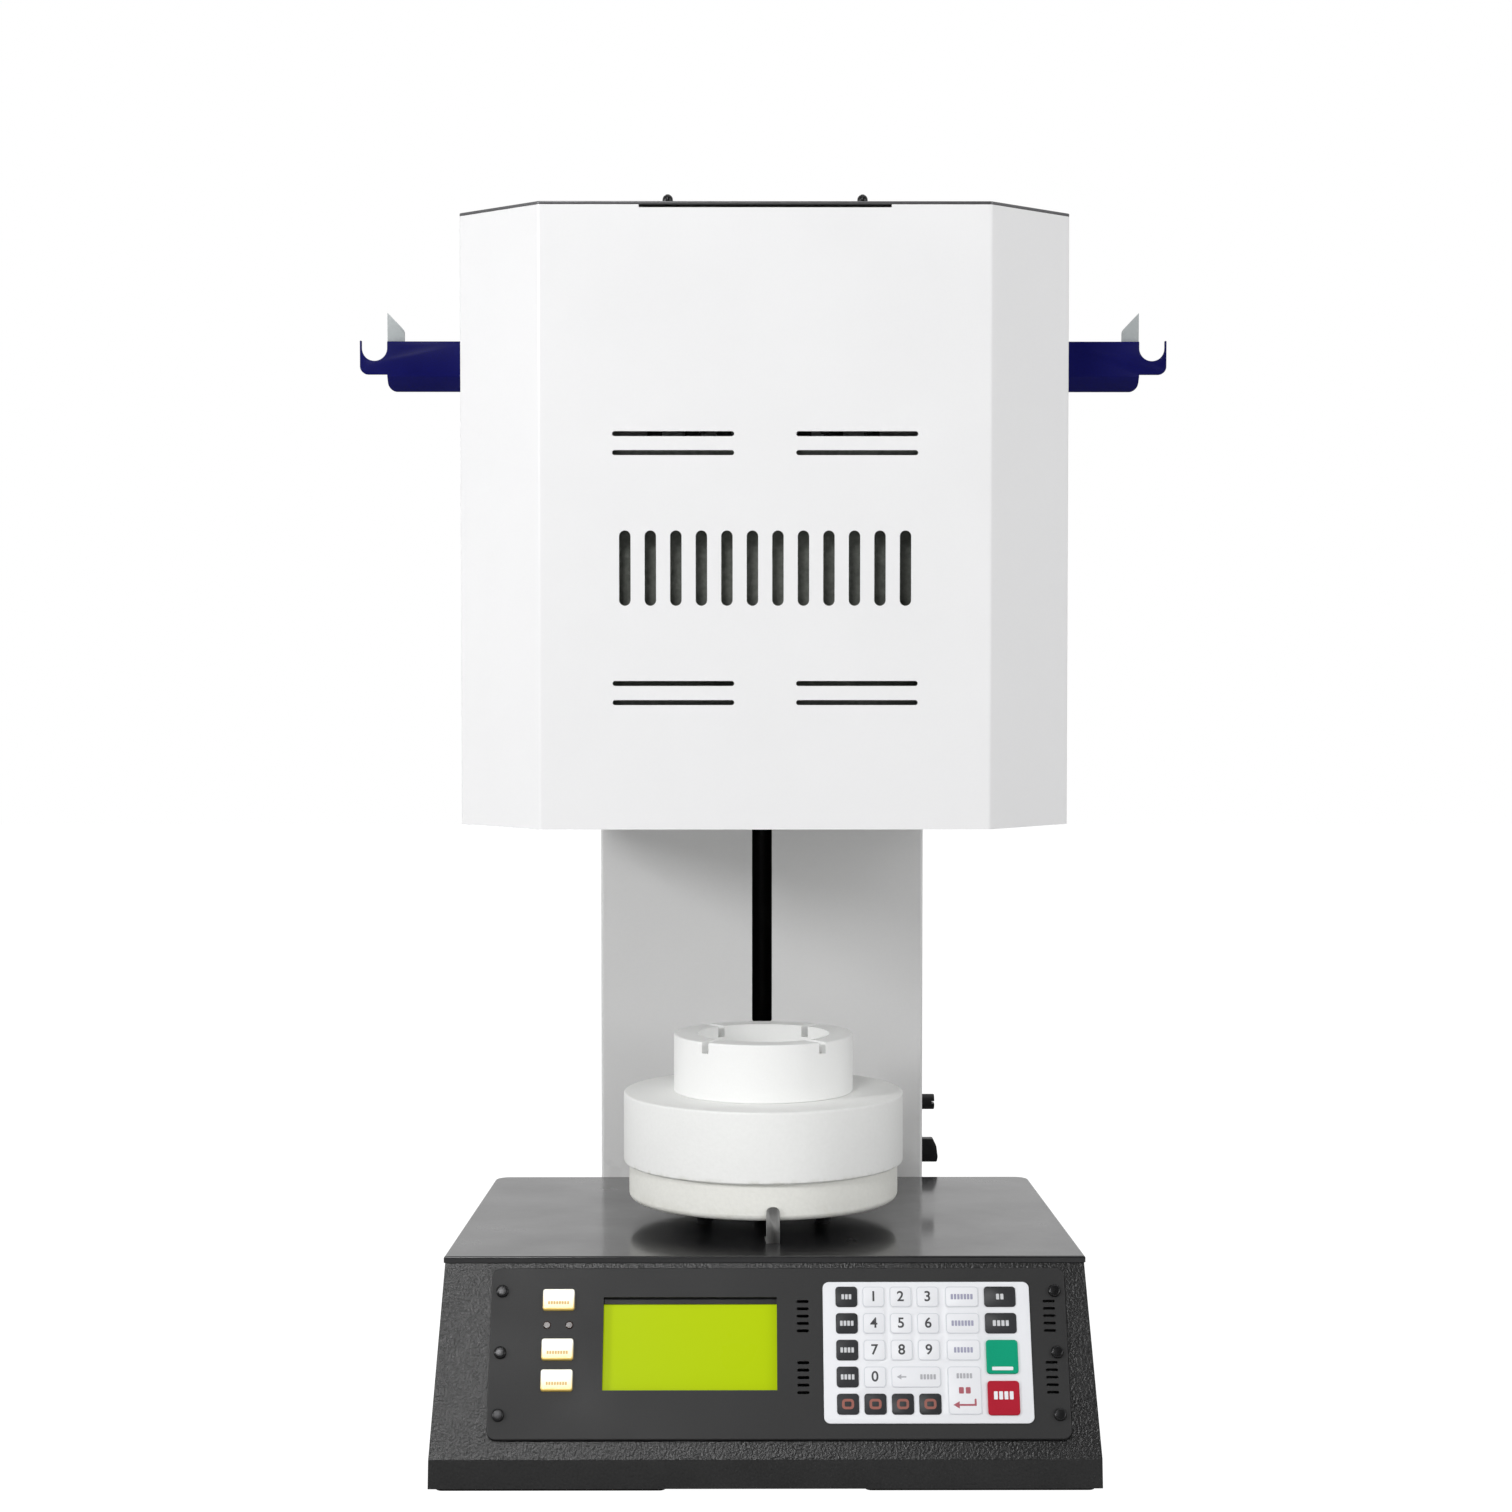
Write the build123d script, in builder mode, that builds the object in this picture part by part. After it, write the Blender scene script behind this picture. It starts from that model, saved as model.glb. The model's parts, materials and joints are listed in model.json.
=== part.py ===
from build123d import *
import math
import os

os.makedirs("parts", exist_ok=True)

# All sizes are in millimetres. The furnace faces -Y, +Z is up and z = 0 is the bench.
# Distances called "ahead" or "behind" are counted from the upright axis of the pedestal.

# Sheet thicknesses and clearances
SHEET = 1.5            # base and head sheet metal
COLUMN_SHEET = 2.0     # column sheet metal
PLATE = 2.0            # chassis, head floor and head lid
GAP = 0.3              # around pieces that drop in or move
RUN_FIT = 0.05         # radial, shaft in its bearing
SEAT_FIT = 0.03        # radial, bush or nut in its bore

# Base: a desk console with a sloped front
BASE_AHEAD = 188.0     # front edge ahead of the pedestal axis
BASE_BEHIND = 141.0    # rear wall behind the pedestal axis
BASE_FRONT_HALF = 205.4
BASE_REAR_HALF = 191.8
BASE_LEAN = 2.85       # each side leans in by this much over the height
BASE_TOP = 132.0
BASE_REAR_CORNER = 10.0
BAND_TOP = 20.0        # upright band below the slope
SLOPE_RUN = 62.0       # the slope goes back this far
FOOT_HEIGHT = 3.0
SKIRT = 2.0            # lower edge of the base shell above the bench
LID_RIM = 4.0          # depth of the lid's rim
LID_OVERHANG = 0.8
SHELL_FLANGE = 14.0    # inward flange that carries the lid
FRONT_FOOT_LENGTH = 140.0
FOOT_LENGTH = 52.0
FOOT_WIDTH = 16.0
FOOT_INSET = 4.0       # from the side of the base to the end of a foot
FRONT_FOOT_BACK = 11.0     # centre of the front feet behind the base's front
MIDDLE_FOOT_BEHIND = 112.0
REAR_FOOT_AHEAD = 20.0     # centre of the rear feet ahead of the column's back

# Control panel, measured in the plane of the slope from the panel's centre
PANEL_WIDTH = 357.0
PANEL_HEIGHT = 107.4
PANEL_THICK = 3.0
PANEL_CORNER = 5.5
PANEL_SHIFT = 8.4      # the panel sits this far right of the middle
PANEL_RISE = 65.3      # centre of the panel up the slope
PANEL_LAND = 17.0      # overlap of the panel on the shell at left and right
PANEL_LAND_LOW = 9.0   # overlap at top and bottom
SCREW_INSET = 6.7      # screw centres from the panel's side edges
SCREW_PITCH = 38.8
LCD_LEFT = 69.9        # panel's left edge to the glass
LCD_RIGHT = 179.5      # glass to the panel's right edge
LCD_HEIGHT = 58.5
LCD_Y = 5.8
LCD_TOP_STRIP = 3.6    # dark frame left in view above the glass
LCD_RECESS = 1.0       # glass below the back of the panel plate
LCD_GLASS = 2.0
LCD_FRAME_EDGE = 13.2  # frame beyond the glass at left and right
LCD_FRAME_HEIGHT = 74.0
LCD_FRAME_THICK = 8.0
BUTTON_WIDTH = 19.5
BUTTON_HEIGHT = 13.0
BUTTON_CORNER = 1.5
BUTTON_PROUD = 2.5
BUTTON_TRAVEL = 2.0
BUTTON_DEEP = 5.5      # the cap reaches this far behind the plate
BUTTON_INSET = 42.0    # button centres from the panel's left edge
BUTTON_TOP_Y = 33.2
BUTTON_MIDDLE_Y = 1.9
BUTTON_LOW_Y = -17.4
HOUSING_WALL = 1.6
HOUSING_DEPTH = 16.0
LED_RADIUS = 2.4
LED_SPREAD = 6.9
LED_Y = 17.3
LED_PROUD = 0.6
LED_DEEP = 5.0
VENT_WIDTH = 7.6
VENT_HEIGHT = 1.9
VENT_PITCH = 4.65
VENT_COUNT = 5
VENT_INSETS = (163.5, 10.4)    # vent centres from the panel's right edge
VENT_ROWS = (22.9, -15.7)

# Membrane keypad, measured from its own centre
PAD_INSET = 86.8       # keypad centre from the panel's right edge
PAD_WIDTH = 128.4
PAD_HEIGHT = 88.6
PAD_THICK = 1.0
PAD_CORNER = 4.0
PAD_WINDOW_EDGE = 24.0     # rim of the plate left behind the keypad
KEY_PITCH = 16.8
KEY_WIDTH = 13.6
KEY_HEIGHT = 13.0
KEY_CORNER = 2.2
KEY_RISE = 0.5
BIG_KEY_RISE = 1.2
BIG_KEY_WIDTH = 19.6
BIG_KEY_HEIGHT = 21.2
TEXT_KEY_WIDTH = 20.6
DARK_COLUMN_X = -49.5
TEXT_COLUMN_X = 22.2
RIGHT_COLUMN_X = 45.9
TOP_ROW_Y = 34.7
GREEN_KEY_Y = -3.3
RED_KEY_Y = -28.9

# Pedestal of ceramic fibre and its crucible
LOWER_DISC_RADIUS = 89.6
LOWER_DISC_HEIGHT = 24.2
UPPER_DISC_RADIUS = 93.2
UPPER_DISC_HEIGHT = 46.6
DISC_EDGE = 1.5
LOWER_DISC_EDGE = 4.0
STAND_HEIGHT = 13.8    # lower disc above the lid
STAND_RADIUS = 60.0
STAND_PLATE = 3.0
POST_RADIUS = 5.0
POST_CIRCLE_RADIUS = 45.0
CRUCIBLE_RADIUS = 59.7
CRUCIBLE_WALL = 15.7
CRUCIBLE_HEIGHT = 38.4
CRUCIBLE_FLOOR = 8.0
CRUCIBLE_EDGE = 1.2
NOTCH_WIDTH = 5.6
NOTCH_DEPTH = 7.5
NOTCH_ANGLE = 40.0     # from the front and from the back
CLIP_WIDTH = 8.7
CLIP_THICK = 1.5
CLIP_HEIGHT = 23.5
CLIP_FOOT = 15.0
CLIP_TURN = 3.5        # the front clip stands this far round to the right, in degrees
CLIP_REAR_TURN = 27.0  # the rear clips stand this far from the back, in degrees

# Column behind the base
COLUMN_WIDTH = 230.0
COLUMN_DEPTH = 120.0
COLUMN_TOP = 690.0
COLUMN_FLANGE = 12.0
SLOT_WIDTH = 14.2
SLOT_LOW = 244.0
SLOT_CORNER = 1.5
CABLE_WINDOW = (60.0, 40.0)
CABLE_WINDOW_Z = 85.0
CAP_LIP = 10.0
COVER_VENT = (90.0, 5.0)
COVER_VENT_PITCH = 12.0
COVER_VENT_COUNT = 6
COVER_VENT_LOW = 160.0
COVER_VENT_HIGH = 620.0
COVER_SCREW_INSET = 30.0       # from the bench and from the column's top
COVER_SCREW_ROWS = 4
SCREW_RADIUS = 2.0
SCREW_HEAD_RADIUS = 4.2
SCREW_HEAD_HEIGHT = 2.5
SCREW_LENGTH = 8.0

# Lift inside the column
LIFT_BEHIND = 59.0     # screw axis behind the column's front
ROD_INSET = 18.0       # rod axes from the carriage block's ends
ROD_RADIUS = 8.0
LEAD_SCREW_RADIUS = 8.0
JOURNAL_RADIUS = 6.0
MOTOR_SHAFT_RADIUS = 4.0
ROD_PLATE_THICK = 10.0
ROD_PLATE_DEPTH = 100.0
ROD_PLATE_LOW = 195.0
ROD_PLATE_HIGH = 640.0
MOTOR_WIDTH = 57.0
MOTOR_HEIGHT = 76.0
MOTOR_SHAFT_DEEP = 60.0
BLOCK_BESIDE = 35.0    # from the column's side to the carriage block
BLOCK_DEPTH = 40.0
BLOCK_HEIGHT = 110.0
BUSH_RADIUS = 11.0
BUSH_LENGTH = 20.0
NUT_RADIUS = 14.0
NUT_LENGTH = 25.0
NUT_FLANGE_RADIUS = 19.0
NUT_FLANGE_THICK = 6.0
BLOCK_BORE_RADIUS = 10.0
ARM_THICK = 10.0
ARM_HEIGHT = 120.0
ARM_STOP_GAP = 7.0     # arm above the foot of the slot when the head is down
ARM_TONGUE = 4.0
ARM_PLATE = (120.0, 6.0, 130.0)
SENSOR = (14.0, 20.0, 18.0)

# Switch, fuse and inlet on the column
SWITCH_BEHIND = 49.0   # behind the column's front
SWITCH_Z = 143.1
SWITCH_BEZEL = (15.0, 24.6)
SWITCH_BEZEL_THICK = 2.5
SWITCH_BODY = (12.8, 22.2)
SWITCH_BODY_DEEP = 24.0
SWITCH_WALL = 0.6
ROCKER_POCKET = 9.1     # the pocket behind the bezel lets the rocker swing
ROCKER_WIDTH = 10.4
ROCKER_HALF = 8.4
ROCKER_HEEL = 1.7      # behind the pivot
ROCKER_BROW = 9.6      # upper edge ahead of the pivot
ROCKER_CHEEK = (12.2, 3.0)
ROCKER_PEAK = (13.2, -4.5)
ROCKER_CHIN = 12.6     # lower edge ahead of the pivot
ROCKER_ROUND = 1.2
ROCKER_RAISE = 1.0     # pivot outside the column wall
ROCKER_PIN_RADIUS = 1.5
FUSE_Z = 178.4
FUSE_BODY_RADIUS = 5.0
FUSE_COLLAR_RADIUS = 6.6
FUSE_COLLAR = 2.0
FUSE_LENGTH = 38.0
FUSE_CAP_RADIUS = 5.6
FUSE_CAP_LENGTH = 9.3
FUSE_STEM_RADIUS = 3.4
FUSE_STEM_LENGTH = 16.0
FUSE_SLOT = (2.0, 2.0)
INLET_Z = 60.0
INLET_FLANGE = (50.0, 28.0)
INLET_BODY = (31.0, 24.0)
INLET_SOCKET = (25.0, 18.0)
INLET_DEEP = 26.0
INLET_SOCKET_DEEP = 19.0
INLET_PIN = (2.0, 4.0)
INLET_PIN_LENGTH = 13.0
INLET_PIN_SPREAD = 7.0
INLET_PIN_DROP = 2.0

# Head: an eight-sided casing that rides up and down the column
HEAD_AHEAD = 155.0
HEAD_BEHIND = 122.0
HEAD_HALF = 191.0
HEAD_CHAMFER = 53.0
HEAD_REAR_CHAMFER = 50.0
HEAD_LOW = 401.5
HEAD_HEIGHT = 381.0
HEAD_FOLD = 3.0
HEAD_FLANGE = 12.0
TOP_GRIP_HALF = 77.0   # shallow gap under the lid's front edge
TOP_GRIP_HEIGHT = 1.8
STUD_X = 59.5
STUD_BACK = 8.0
STUD_RADIUS = 3.2
STUD_HEIGHT = 5.0
STUD_STEM = 9.0
SLOT_LENGTH = 74.5
SLOT_HEIGHT = 3.1
SLOT_X = 56.2
SLOT_ROWS = (643.5, 632.0, 491.1, 479.4)
GRILLE_SLOT = (7.0, 46.0)
GRILLE_PITCH = 15.6
GRILLE_COUNT = 12
GRILLE_Z = 561.6
LID_VENT = (70.0, 5.0)
LID_VENT_PITCH = 12.0
LID_VENT_COUNT = 7
HEAD_SCREW_INSET = 14.0
HEAD_SCREW_ROWS = 3

# Muffle inside the head
JACKET_AIR = 14.0      # air gap between the casing and the inner jacket
JACKET = 1.0
JACKET_RISE = 10.0     # jacket above the roof insulation
SEAT_DEPTH = 38.0      # lower ring that closes round the upper disc
CHAMBER_RADIUS = 82.0
CHAMBER_LAYER = 43.0
CHAMBER_LAYERS = 3
ROOF_THICK = 60.0
DISC_CLEARANCE = 3.3   # upper disc in the mouth of the head
SEAL_GAP = 0.9         # between disc and chamber when the head is down
ELEMENT_COUNT = 6
ELEMENT_CIRCLE = 72.0
ELEMENT_HALF = 12.0    # half the spread of the two legs
ELEMENT_RADIUS = 2.5
SHANK_RADIUS = 4.5
SHANK_RISE = 44.0      # shank above the roof
ELEMENT_DROP = 112.0   # legs below the roof
HOLE_CLEARANCE = 0.5
HOLDER = (42.0, 16.0, 14.0)
STRAP_WIDTH = 14.0
STRAP_THICK = 5.0
STRAP_RISE = 26.0
PROBE_BEHIND = 54.0
PROBE_RADIUS = 3.0
PROBE_DROP = 50.0
PROBE_HEAD_RADIUS = 14.0
PROBE_HEAD_HEIGHT = 22.0

# Tool hooks at the sides of the head
HOOK_TOP = 714.6
HOOK_FACE = 23.2       # upright face of the arm
HOOK_BAND = 9.2        # slanted fold below it
HOOK_SHEET = 3.0
HOOK_REACH = 57.8      # arm out from the casing
HOOK_BODY_CORNER = 5.5
HOOK_U_RADIUS = 8.4
HOOK_U_RISE = 9.0      # U's floor above the neck's underside
HOOK_TIP = 1.2
HOOK_TIP_RISE = 0.5
HOOK_NECK = 21.8       # underside of the neck below the top
HOOK_CORNER = 5.5
HOOK_FLANGE = 34.0
HOOK_SCREW_INSET = 7.0     # from either end of the flange
FIN_WIDTH = 11.4
FIN_RISE = 19.2
FIN_SHEET = 2.0
FIN_TAIL = 18.0
FIN_SHOULDER = 7.2
FIN_ROUND = 4.0

# Loose and bought-in parts inside the base
BOARD = (170.0, 100.0, 1.6)
BOARD_PLACE = (52.0, -56.0)
BOARD_HEIGHT = 12.0    # pillars under the board, and the parts on it
PILLAR_RADIUS = 3.0
PILLAR_INSET = 6.0
TRANSFORMER = (92.0, 70.0, 78.0)
TRANSFORMER_PLACE = (-118.0, 52.0)
COIL_BULGE = 12.0
RELAY = (56.0, 76.0, 44.0)
RELAY_PLACE = (60.0, 62.0)
RELAY_FINS = 7
RELAY_FIN_THICK = 3.0
RELAY_BASE = 10.0
FAN_ROOM = 16.8        # left free between the column and the base's side
FAN_DEPTH = 25.0
FAN_BESIDE = 3.0       # between the fan and the column's side
FAN_Z = 62.0
FAN_WALL = 2.0         # frame round the bore at its thinnest
FAN_BLADE_GAP = 1.2
FAN_BLADES = 7
FAN_STRUT = 3.0
FAN_SLOT_INSET = 7.0   # slots stop short of the fan's edges
FAN_SLOT_HEIGHT = 4.0
FAN_SLOT_PITCH = 8.0
FAN_SLOT_COUNT = 6

# Worked-out places
COLUMN_BEHIND = BASE_BEHIND
REAR_BEHIND = COLUMN_BEHIND + COLUMN_DEPTH
AXIS_Y = (BASE_AHEAD - REAR_BEHIND - SCREW_HEAD_HEIGHT) / 2
FRONT_Y = AXIS_Y - BASE_AHEAD
BASE_REAR_Y = AXIS_Y + BASE_BEHIND
COLUMN_Y = AXIS_Y + COLUMN_BEHIND
REAR_Y = AXIS_Y + REAR_BEHIND
LIFT_Y = COLUMN_Y + LIFT_BEHIND
SWITCH_Y = COLUMN_Y + SWITCH_BEHIND
HEAD_Y = AXIS_Y - HEAD_AHEAD
HEAD_REAR_Y = AXIS_Y + HEAD_BEHIND
HEAD_TOP = HEAD_LOW + HEAD_HEIGHT
HALF_COLUMN = COLUMN_WIDTH / 2
FAN_SIZE = BASE_REAR_HALF - HALF_COLUMN - FAN_ROOM
FAN_BORE = FAN_SIZE / 2 - FAN_WALL
FAN_HUB = FAN_SIZE / 5
FAN_SLOT = (FAN_SIZE - 2 * FAN_SLOT_INSET, FAN_SLOT_HEIGHT)
FAN_X = HALF_COLUMN + FAN_BESIDE + FAN_SIZE / 2
BLOCK_WIDTH = COLUMN_WIDTH - 2 * BLOCK_BESIDE
ROD_SPREAD = BLOCK_WIDTH / 2 - ROD_INSET
HALF_PANEL = PANEL_WIDTH / 2
BUTTON_X = BUTTON_INSET - HALF_PANEL
PAD_X = HALF_PANEL - PAD_INSET
LCD_WIDTH = PANEL_WIDTH - LCD_LEFT - LCD_RIGHT
LCD_X = (LCD_LEFT - LCD_RIGHT) / 2
LCD_FRAME_WIDTH = LCD_WIDTH + 2 * LCD_FRAME_EDGE
BASE_WIDEST = max(BASE_FRONT_HALF, BASE_REAR_HALF)
BUTTON_ROWS = {"top": BUTTON_TOP_Y, "middle": BUTTON_MIDDLE_Y, "bottom": BUTTON_LOW_Y}

CHASSIS_TOP = FOOT_HEIGHT + PLATE
BOARD_Z = CHASSIS_TOP + BOARD_HEIGHT
SHELL_TOP = BASE_TOP - LID_RIM
SLOPE_ANGLE = math.atan2(SLOPE_RUN, BASE_TOP - BAND_TOP)
SLOPE_UP = (math.sin(SLOPE_ANGLE), math.cos(SLOPE_ANGLE))
SLOPE_OUT = (0, -math.cos(SLOPE_ANGLE), math.sin(SLOPE_ANGLE))

LOWER_DISC_Z = BASE_TOP + STAND_HEIGHT
UPPER_DISC_Z = LOWER_DISC_Z + LOWER_DISC_HEIGHT
CRUCIBLE_Z = UPPER_DISC_Z + UPPER_DISC_HEIGHT

HEAD_FLOOR = HEAD_LOW + SHEET
MUFFLE_Z = HEAD_FLOOR + PLATE
CHAMBER_Z = MUFFLE_Z + SEAT_DEPTH
ROOF_Z = CHAMBER_Z + CHAMBER_LAYER * CHAMBER_LAYERS
ROOF_TOP = ROOF_Z + ROOF_THICK
MOUTH_RADIUS = UPPER_DISC_RADIUS + DISC_CLEARANCE
TRAVEL = CHAMBER_Z - CRUCIBLE_Z - SEAL_GAP

ARM_LOW = SLOT_LOW + ARM_STOP_GAP + TRAVEL
ARM_TOP = ARM_LOW + ARM_HEIGHT
BLOCK_LOW = ARM_LOW + (ARM_HEIGHT - BLOCK_HEIGHT) / 2
BLOCK_TOP = BLOCK_LOW + BLOCK_HEIGHT
SLOT_HIGH = ARM_TOP + ARM_STOP_GAP

UP = (Align.CENTER, Align.CENTER, Align.MIN)
DOWN = (Align.CENTER, Align.CENTER, Align.MAX)


def panel_plane(x=0.0, y=0.0, out=0.0):
    """Plane in the slope, seen from outside, with its origin at a place on the panel."""
    rise = PANEL_RISE + y
    sideways = PANEL_SHIFT + x
    back = FRONT_Y + rise * SLOPE_UP[0]
    height = BAND_TOP + rise * SLOPE_UP[1]
    return Plane(origin=(sideways, back, height), x_dir=(1, 0, 0), z_dir=SLOPE_OUT).offset(out)


def base_half(y, z):
    """Half the width of the base at a depth and a height."""
    along = (y - FRONT_Y) / (BASE_REAR_Y - FRONT_Y)
    rise = (z - SKIRT) / (BASE_TOP - SKIRT)
    return BASE_FRONT_HALF + (BASE_REAR_HALF - BASE_FRONT_HALF) * along - BASE_LEAN * rise


def base_outline(y_front, y_rear, z, inset):
    """Trapezium of the base in plan, drawn in by inset."""
    front = base_half(y_front, z) - inset
    rear = base_half(y_rear, z) - inset
    near = y_front + inset
    far = y_rear - inset
    return [(-front, near), (front, near), (rear, far), (-rear, far)]


def base_block(inset, low, high):
    """Solid block of the base between two heights, drawn in by inset."""
    with BuildPart() as block:
        for z in (low, high):
            with BuildSketch(Plane.XY.offset(z)) as plan:
                Polygon(*base_outline(FRONT_Y, BASE_REAR_Y, z, inset), align=None)
                fillet(plan.vertices().group_by(Axis.Y)[-1], BASE_REAR_CORNER - inset)
        loft(ruled=True)
        beyond = BASE_REAR_Y + BASE_WIDEST
        top_y = FRONT_Y + SLOPE_RUN
        with BuildSketch(Plane.YZ.offset(-BASE_WIDEST)):
            Polygon(
                (FRONT_Y, -BASE_TOP), (beyond, -BASE_TOP), (beyond, BASE_TOP * 2),
                (top_y + SLOPE_RUN * BASE_TOP / (BASE_TOP - BAND_TOP), BASE_TOP * 2),
                (FRONT_Y, BAND_TOP), align=None,
            )
            if inset:
                offset(amount=-inset, kind=Kind.INTERSECTION)
        extrude(amount=2 * BASE_WIDEST, mode=Mode.INTERSECT)
    return block.part


def head_outline(inset):
    """Corners of the eight-sided head, drawn in by inset."""
    tuck = inset * (2 - math.sqrt(2))
    front = HEAD_CHAMFER - tuck
    rear = HEAD_REAR_CHAMFER - tuck
    side = HEAD_HALF - inset
    near = HEAD_Y + inset
    far = HEAD_REAR_Y - inset
    return [
        (side - front, near), (side, near + front), (side, far - rear), (side - rear, far),
        (rear - side, far), (-side, far - rear), (-side, near + front), (front - side, near),
    ]


def head_layer(inset, low, high, bore=0.0):
    """Layer of the head's octagon between two heights, with a round bore on the pedestal axis."""
    with BuildPart() as layer:
        with BuildSketch(Plane.XY.offset(low)) as plan:
            Polygon(*head_outline(inset), align=None)
            if inset < HEAD_FOLD:
                fillet(plan.vertices(), HEAD_FOLD - inset)
        extrude(amount=high - low)
        if bore:
            with Locations((0, AXIS_Y, low)):
                Cylinder(bore, high - low, align=UP, mode=Mode.SUBTRACT)
    return layer.part


def pan_screw(plane, head_radius, head_height, radius, length):
    """Round-headed screw standing on a plane, its shank below it."""
    with BuildPart() as screw:
        with BuildSketch(plane):
            Circle(head_radius)
        extrude(amount=head_height)
        outer = screw.faces().sort_by(Axis(plane.origin, plane.z_dir))[-1]
        fillet(outer.edges(), head_height * 0.45)
        with BuildSketch(plane):
            Circle(radius)
        extrude(amount=-length)
    return screw.part


def side_seat(side, out, y, z):
    """Upright plane at one side of the head, a distance out from it and facing away."""
    return Plane(origin=(side * (HEAD_HALF + out), y, z), x_dir=(0, 1, 0), z_dir=(side, 0, 0))


def ladder(count, pitch):
    """Evenly spaced steps about zero."""
    return [(step - (count - 1) / 2) * pitch for step in range(count)]


def around(radius, turn, z):
    """Place on a circle about the pedestal axis."""
    return (radius * math.cos(math.radians(turn)), AXIS_Y + radius * math.sin(math.radians(turn)), z)


# Places of the repeated features
PANEL_SCREWS = [
    (side * (PANEL_WIDTH / 2 - SCREW_INSET), row * SCREW_PITCH) for side in (-1, 1) for row in (-1, 0, 1)
]
PANEL_VENTS = [
    (HALF_PANEL - inset, y + step)
    for inset in VENT_INSETS
    for y in VENT_ROWS
    for step in ladder(VENT_COUNT, VENT_PITCH)
]
COVER_SCREW_PITCH = (COLUMN_TOP - 2 * COVER_SCREW_INSET) / (COVER_SCREW_ROWS - 1)
COVER_SCREW_X = HALF_COLUMN - COLUMN_SHEET - COLUMN_FLANGE / 2
COVER_SCREWS = [
    (side * COVER_SCREW_X, COVER_SCREW_INSET + row * COVER_SCREW_PITCH)
    for side in (-1, 1)
    for row in range(COVER_SCREW_ROWS)
]
DIGIT_COLUMNS = [DARK_COLUMN_X + KEY_PITCH * column for column in (1, 2, 3)]
KEY_ROWS = [TOP_ROW_Y - KEY_PITCH * row for row in range(5)]
DIGIT_KEYS = [(x, y) for x in DIGIT_COLUMNS for y in KEY_ROWS[:3]] + [(DIGIT_COLUMNS[0], KEY_ROWS[3])]
ELEMENT_TURNS = [360 / ELEMENT_COUNT * step for step in range(ELEMENT_COUNT)]
LEG_TURN = math.degrees(math.atan2(ELEMENT_HALF, ELEMENT_CIRCLE))
LEG_RADIUS = math.hypot(ELEMENT_CIRCLE, ELEMENT_HALF)
LEG_PLACES = [around(LEG_RADIUS, turn + side * LEG_TURN, 0) for turn in ELEMENT_TURNS for side in (-1, 1)]
STUD_PLACES = [(side * STUD_X, HEAD_Y + STUD_BACK) for side in (-1, 1)]
ARM_MIDDLE = ARM_LOW + ARM_HEIGHT / 2
ARM_SCREW_X = ARM_PLATE[0] / 2 - HEAD_SCREW_INSET
ARM_SCREW_Z = ARM_PLATE[2] / 2 - HEAD_SCREW_INSET
ARM_SCREWS = [(x * ARM_SCREW_X, ARM_MIDDLE + z * ARM_SCREW_Z) for x in (-1, 1) for z in (-1, 1)]
REAR_SEAM_Y = HEAD_REAR_Y - HEAD_REAR_CHAMFER - HEAD_FOLD
SIDE_SCREWS = [
    (REAR_SEAM_Y - HEAD_FLANGE / 2, HEAD_LOW + HEAD_HEIGHT * (row + 0.5) / HEAD_SCREW_ROWS)
    for row in range(HEAD_SCREW_ROWS)
]
HOOK_Y = AXIS_Y - HOOK_SHEET / 2
HOOK_SCREWS = [
    (HOOK_Y + HOOK_FLANGE - HOOK_SCREW_INSET, HOOK_TOP - HOOK_FACE / 2),
    (HOOK_Y + HOOK_SHEET + HOOK_SCREW_INSET, HOOK_TOP - HOOK_FACE / 2),
]
PANEL_UP = Axis(panel_plane().origin, SLOPE_OUT)

# Base shell: slope, upright band, sides and rear wall, folded from one sheet
shell_hollow = base_block(SHEET, -SKIRT, SHELL_TOP - SHEET)
with BuildPart() as base_shell:
    add(base_block(0, SKIRT, SHELL_TOP))
    add(shell_hollow, mode=Mode.SUBTRACT)
    with BuildSketch(Plane.XY.offset(SHELL_TOP)):
        Polygon(*base_outline(FRONT_Y + SLOPE_RUN, BASE_REAR_Y, SHELL_TOP, SHELL_FLANGE), align=None)
    extrude(amount=-2 * SHEET, mode=Mode.SUBTRACT)
    with BuildSketch(panel_plane()):
        Rectangle(PANEL_WIDTH - 2 * PANEL_LAND, PANEL_HEIGHT - 2 * PANEL_LAND_LOW)
        with Locations(*PANEL_SCREWS):
            Circle(SCREW_RADIUS + RUN_FIT)
    extrude(amount=-2 * SHEET, mode=Mode.SUBTRACT)
    with Locations((0, BASE_REAR_Y, SKIRT)):
        Box(COLUMN_WIDTH + 2 * GAP, 4 * SHEET, CHASSIS_TOP - SKIRT, align=UP, mode=Mode.SUBTRACT)
    with BuildSketch(Plane.XZ.offset(-BASE_REAR_Y)):
        with Locations((0, CABLE_WINDOW_Z)):
            Rectangle(*CABLE_WINDOW)
        with Locations(*[(FAN_X, FAN_Z + step) for step in ladder(FAN_SLOT_COUNT, FAN_SLOT_PITCH)]):
            SlotOverall(*FAN_SLOT)
    extrude(amount=2 * SHEET, both=True, mode=Mode.SUBTRACT)

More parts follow.
